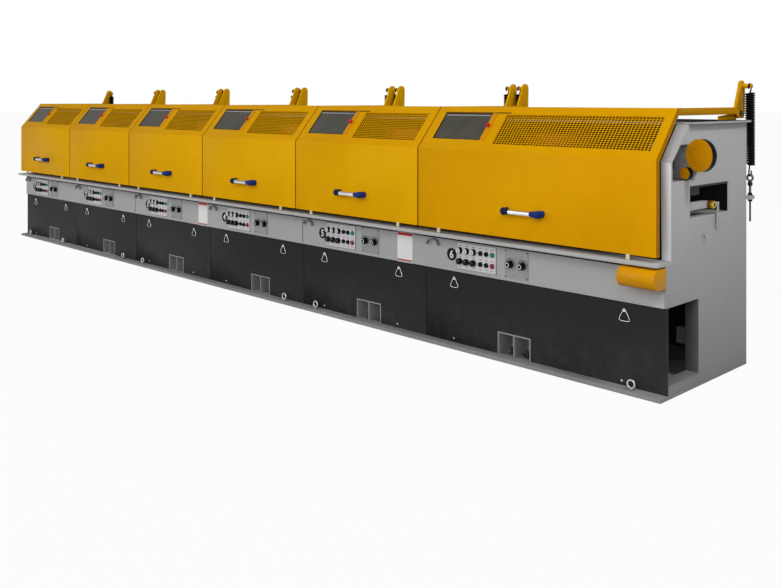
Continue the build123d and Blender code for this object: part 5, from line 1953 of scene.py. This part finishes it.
@dataclass
class OutletEnd:
    """The guide wheels, wire guide, roller cover and small fittings at the outlet end."""

    shop: Workshop
    turn: float = 14.0
    plate_in: float = 0.330
    gap: float = 0.003
    groove: float = 0.009
    ledge_along: float = -0.232
    ledge_edge: float = 0.142
    ledge_z: Span = (1.2640, 1.2676)
    wall_face: float = 0.0124
    cover_r: float = 0.060
    cover_out: float = 0.146
    cover_z: float = 0.712
    cover_span: Span = (4.282, 4.5245)
    cover_rim: tuple[Span, ...] = ((0.0, 0.955), (0.001, 0.985), (0.003, 1.0))
    nozzle_in: float = 0.615
    nozzle_z: float = 1.100
    sleeve: Turned = Turned(
        ((0.0062, -0.040), (0.0232, -0.040), (0.0232, 0.007), (0.0222, 0.008), (0.0062, 0.008)), 36, 1
    )
    nose: Turned = Turned(
        ((0.0062, 0.008), (0.0236, 0.008), (0.0242, 0.010), (0.0242, 0.024), (0.0222, 0.0285),
         (0.0062, 0.0285)), 36
    )
    mouth: Turned = Turned(((0.0062, 0.0275), (0.0125, 0.0275), (0.0125, 0.0289), (0.0062, 0.0289)), 24, 2)
    peg: Turned = Turned(((0.013, 0), (0.013, 0.003), (0.0085, 0.004), (0.0085, 0.026), (0.0070, 0.028)), 20)
    peg_y: float = -0.045
    peg_z: float = 0.912
    # A dark disc of painted shade where each of the strip's holes is.
    hole: Turned = Turned(((0.0045, 0), (0.0045, 0.0002)), 16, 1)
    hole_out: float = 0.0181
    hole_in: float = 0.687
    hole_zs: Places = (1.090, 1.050, 1.015, 0.980, 0.960)
    bolt: Fastener = Fastener(0.017, 0.008, 0.012, 0.002)
    bolt_along: float = -0.13
    bolt_zs: Span = (1.455, 1.295)

    def build(self) -> None:
        """Builds all that shows at the outlet end."""
        # The guide plate in the recess takes the darker bracket grey as painted shade.
        self.shop.softened("guide_bracket", BRACKET_PAINTED_SHADE, 0.0012)
        self.recess_floor()
        self.shop.softened("outlet_guide", GREY, 0.0010)
        self.cover()
        for wheel in Wheel:
            self.wheel(wheel)
        self.nozzle()
        self.fittings()

    def recess_floor(self) -> None:
        """Adds the ledge under the guide plate: a flat four-sided plate from the wall's edge back to it."""
        shell = Shell()
        low = self.facing(self.ledge_along, 0.0).translation
        wall, edge = ROW.near - self.wall_face, ROW.front + self.ledge_edge
        outline = np.array(((wall, edge), (wall, ROW.front + self.plate_in), (low.x, low.y), (low.x, edge)))
        shell.slab(outline, *self.ledge_z, Matrix.Identity(4))
        self.shop.mount(shell.build("recess_ledge"), [BRACKET_PAINTED_SHADE], "machine", "frame_grey")

    def cover(self) -> None:
        """Adds the roller's rounded cover: its section, two flats and a half circle, carried along X.

        The rims of its ends are drawn in a little: P(u, v) = C + s(u) (S(v) - C).
        """
        r, out, z = self.cover_r, self.cover_out, self.cover_z
        base = ROW.band_y - 0.0003
        nose = oval(np.linspace(np.pi / 2, 3 * np.pi / 2, 25), r, r) + (base - (out - r), z)
        section = np.vstack(((base, z + r), nose, (base, z - r)))
        middle = np.array((base - out / 2, z))
        low, high = self.cover_span
        stations = [(low + d, share) for d, share in self.cover_rim]
        stations += [(high - d, share) for d, share in reversed(self.cover_rim)]
        rows = []
        for x, share in stations:
            drawn = middle + share * (section - middle)
            drawn[[0, -1], 0] = base
            rows.append(stationed(x, drawn))
        shell = Shell()
        shell.surface(np.stack(rows), round_v=True, capped=True)
        slot = self.shop.node_slot["roller_cover"]
        self.shop.mount(shell.build("roller_hood", 35), [COVER], "machine", slot, ["roller_cover"])

    def facing(self, along: float, z: float, out: float = 0.0) -> Matrix:
        """The frame on the guide plate.

        Args:
            along: The distance along the plate from the end wall.
            z: The height.
            out: The distance out of the plate.

        Returns:
            The frame, Z out of the plate.
        """
        a = math.radians(self.turn)
        across = Vector((math.cos(a), -math.sin(a), 0))
        normal = Vector((-math.sin(a), -math.cos(a), 0))
        place = Vector((ROW.near, ROW.front + self.plate_in, z)) + across * along + normal * out
        return framed(place, across, Vector((0, 0, 1)), normal)

    def wheel(self, wheel: Wheel) -> None:
        """Adds a guide wheel: a yellow face, with a turned ring on the large one, on a black grooved rim.

        Args:
            wheel: Which of the two.
        """
        node, r, t, along, z = wheel.value
        m = self.facing(along, z, self.gap)
        middle, g = t / 2, self.groove
        shell = Shell()
        rim = [(r * 0.5, 0), (r - 0.001, 0), (r, 0.001), (r, middle - g / 2), (r - g / 2, middle - g / 4)]
        rim += [(r - g / 2, middle + g / 4), (r, middle + g / 2), (r, t - 0.002)]
        shell.lathe(rim, m, 72)
        face = [(r, t - 0.0022), (r, t - 0.001), (r - 0.001, t)]
        if wheel is Wheel.PULLEY:
            q = 0.5 * r
            face += [(q + 0.0009, t), (q, t - 0.0016), (q - 0.0009, t)]
        shell.lathe([*face, (0.002, t)], m, 72, 1)
        piece = shell.build(f"{node}_turned", 25)
        self.shop.mount(piece, [BLACK, WHEEL], f"{node}_body", "guard_yellow", [node])

    def nozzle(self) -> None:
        """Adds the brass nozzle on the wire guide: a turned sleeve with a bore, behind a round nose."""
        shell = Shell()
        m = ROW.end_face(ROW.near, ROW.front + self.nozzle_in, self.nozzle_z)
        for shape in (self.sleeve, self.nose, self.mouth):
            shape.add(shell, m)
        self.shop.mount(shell.build("outlet_nozzle"), [BRASS, BRONZE, BLACKED_AND_PAINTED_SHADE], "machine", "brass")

    def fittings(self) -> None:
        """Adds the small peg under the wire opening, the plate bolts, and dark discs of painted shade for the
        strip's punched holes.
        """
        shell = Shell()
        self.peg.add(shell, ROW.end_face(ROW.near, self.peg_y, self.peg_z))
        for z in self.hole_zs:
            self.hole.add(shell, ROW.end_face(ROW.near + self.hole_out, ROW.front + self.hole_in, z))
        for z in self.bolt_zs:
            self.bolt.add(shell, self.facing(self.bolt_along, z))
        self.shop.mount(shell.build("end_fittings"), [ZINC, BLACKED_AND_PAINTED_SHADE], "machine", "bright_steel")


@dataclass
class Inside:
    """What shows through the mesh, windows and openings: drawing blocks and die boxes."""

    shop: Workshop
    band_z: float = 1.028
    band_r: float = 0.2585
    band_taper: float = 0.008
    band_h: float = 0.150
    wave_h: float = 0.0006
    wave_pitch: float = 0.012
    cap_z: float = 1.440
    cap: Turned = Turned(((0.262, 0), (0.264, 0.003), (0.264, 0.070), (0.256, 0.078), (0.120, 0.082)), 72, 1)

    def build(self) -> None:
        """Paints the blocks and die boxes, and adds each drum's bright band and its upper cap.

        The band's radius is r - d z / h + w cos(2 pi z / p), over the height z.
        """
        self.shop.paint("drawing_blocks", ORANGE)
        self.shop.paint("die_boxes", CHARCOAL)
        z = np.linspace(0.004, 0.146, 25)
        wave = self.wave_h * np.cos(2 * np.pi * z / self.wave_pitch)
        radius = self.band_r - self.band_taper * z / self.band_h + wave
        band = Turned([(0.245, 0.004), *zip(radius.tolist(), z.tolist()), (0.240, 0.146)], 72)
        shell = Shell()
        for n in ROW.numbers:
            for shape, height in ((band, self.band_z), (self.cap, self.cap_z)):
                shape.add(shell, Matrix.Translation((ROW.drive(n), ROW.front + ROW.drive_in, height)))
        self.shop.mount(shell.build("drum_bands"), [ZINC, ORANGE], "machine", "block_orange")


@dataclass
class Studio:
    """The floor, lamps, world and camera, at the photograph's viewing angle."""

    eye: Point = (7.123, -5.287, 1.75)
    heading: float = 45.55
    lens: float = 41.3
    sensor: float = 36.0
    shift_up: float = -0.248
    clip: Span = (0.1, 300.0)
    floor_half: float = 120.0
    floor_z: float = -0.0006
    floor_tone: float = 0.36
    floor_white: float = 0.96
    sky: float = 0.40

    def build(self) -> None:
        """Sets the stage."""
        self.floor()
        self.world()
        self.lamp("key", (7.0, -10.0, 4.9), (1.5, 0.0, 0.8), size=7.0, power=480.0)
        self.lamp("row", (-3.5, -9.5, 4.9), (-2.5, 0.0, 0.8), size=7.0, power=430.0)
        self.lamp("back", (-2.0, 8.0, 6.0), (0.0, 0.0, 1.2), size=7.0, power=200.0)
        self.lamp("end", (10.0, -2.0, 8.5), (4.5, 0.0, 1.2), size=1.6, power=360.0)
        self.camera()

    def floor(self) -> None:
        """Adds the pale floor, which shows the camera mostly white and keeps soft shadows."""
        shell = Shell()
        u = np.linspace(-self.floor_half, self.floor_half, 3)
        x, y = np.meshgrid(u, u, indexing="ij")
        shell.surface(np.stack((x, y, np.full(x.shape, self.floor_z)), axis=-1))
        piece = shell.build("studio_floor")
        material = bpy.data.materials.new("studio_floor")
        material.use_nodes = True
        graph = Graph(material.node_tree)
        lit = graph.fed("BsdfDiffuse", {"Color": (self.floor_tone,) * 3})
        glow = graph.fed("Emission", {"Color": (1.0, 1.0, 1.0)})
        path = graph.node("LightPath")
        seen = graph.math("MAXIMUM", path.outputs["Is Camera Ray"], path.outputs["Is Glossy Ray"])
        seen = graph.math("MAXIMUM", seen, path.outputs["Is Transmission Ray"])
        share = graph.math("MULTIPLY", seen, self.floor_white)
        graph.feed(graph.node("OutputMaterial").inputs["Surface"], graph.blend(share, lit, glow))
        piece.data.materials.append(material)
        piece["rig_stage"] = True

    def world(self) -> None:
        """Lights the object softly from all round, and shows plain white behind it."""
        world = bpy.data.worlds.new("studio")
        bpy.context.scene.world = world
        world.use_nodes = True
        graph = Graph(world.node_tree)
        seen = graph.node("LightPath").outputs["Is Camera Ray"]
        soft, plain = (
            graph.fed("Background", {"Color": (1.0, 1.0, 1.0), "Strength": level})
            for level in (self.sky, 1.0)
        )
        graph.feed(graph.node("OutputWorld").inputs["Surface"], graph.blend(seen, soft, plain))

    def lamp(self, name: str, place: Point, target: Point, size: float, power: float) -> None:
        """Adds a soft square lamp.

        Args:
            name: Its name.
            place: Where it stands.
            target: What it points at.
            size: The length of its sides.
            power: Its power in watts.
        """
        data = bpy.data.lights.new(name, "AREA")
        data.size = size
        data.energy = power
        lamp = linked(name, data)
        lamp.location = place
        lamp.rotation_mode = "QUATERNION"
        lamp.rotation_quaternion = (Vector(target) - Vector(place)).to_track_quat("-Z", "Y")

    def camera(self) -> None:
        """Sets the level camera at the height and heading that the photograph was taken from."""
        data = bpy.data.cameras.new("view")
        data.sensor_width = self.sensor
        data.lens = self.lens
        data.shift_y = self.shift_up
        data.clip_start, data.clip_end = self.clip
        camera = linked("view", data)
        camera.location = self.eye
        camera.rotation_euler = (math.radians(90), 0, math.radians(self.heading))
        bpy.context.scene.camera = camera


def main() -> None:
    """Builds the dressed machine and its studio."""
    logging.basicConfig(level=logging.INFO, format="%(name)s: %(message)s")
    bpy.ops.wm.read_factory_settings(use_empty=True)
    shop = Workshop()
    solids = [c.copy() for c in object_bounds()]
    bpy.context.scene.view_settings.view_transform = "Standard"
    Studio().build()
    for part in (Housing, Pulls, Eyes, Controls):
        part(shop).build()
    for number in ROW.numbers:
        GuardTrim(shop, number).build()
    for part in (Counterbalance, OutletEnd, Inside):
        part(shop).build()
    LOG.info("nodes without a finish: %s", sorted(shop.left_over))


if __name__ == "__main__":
    main()
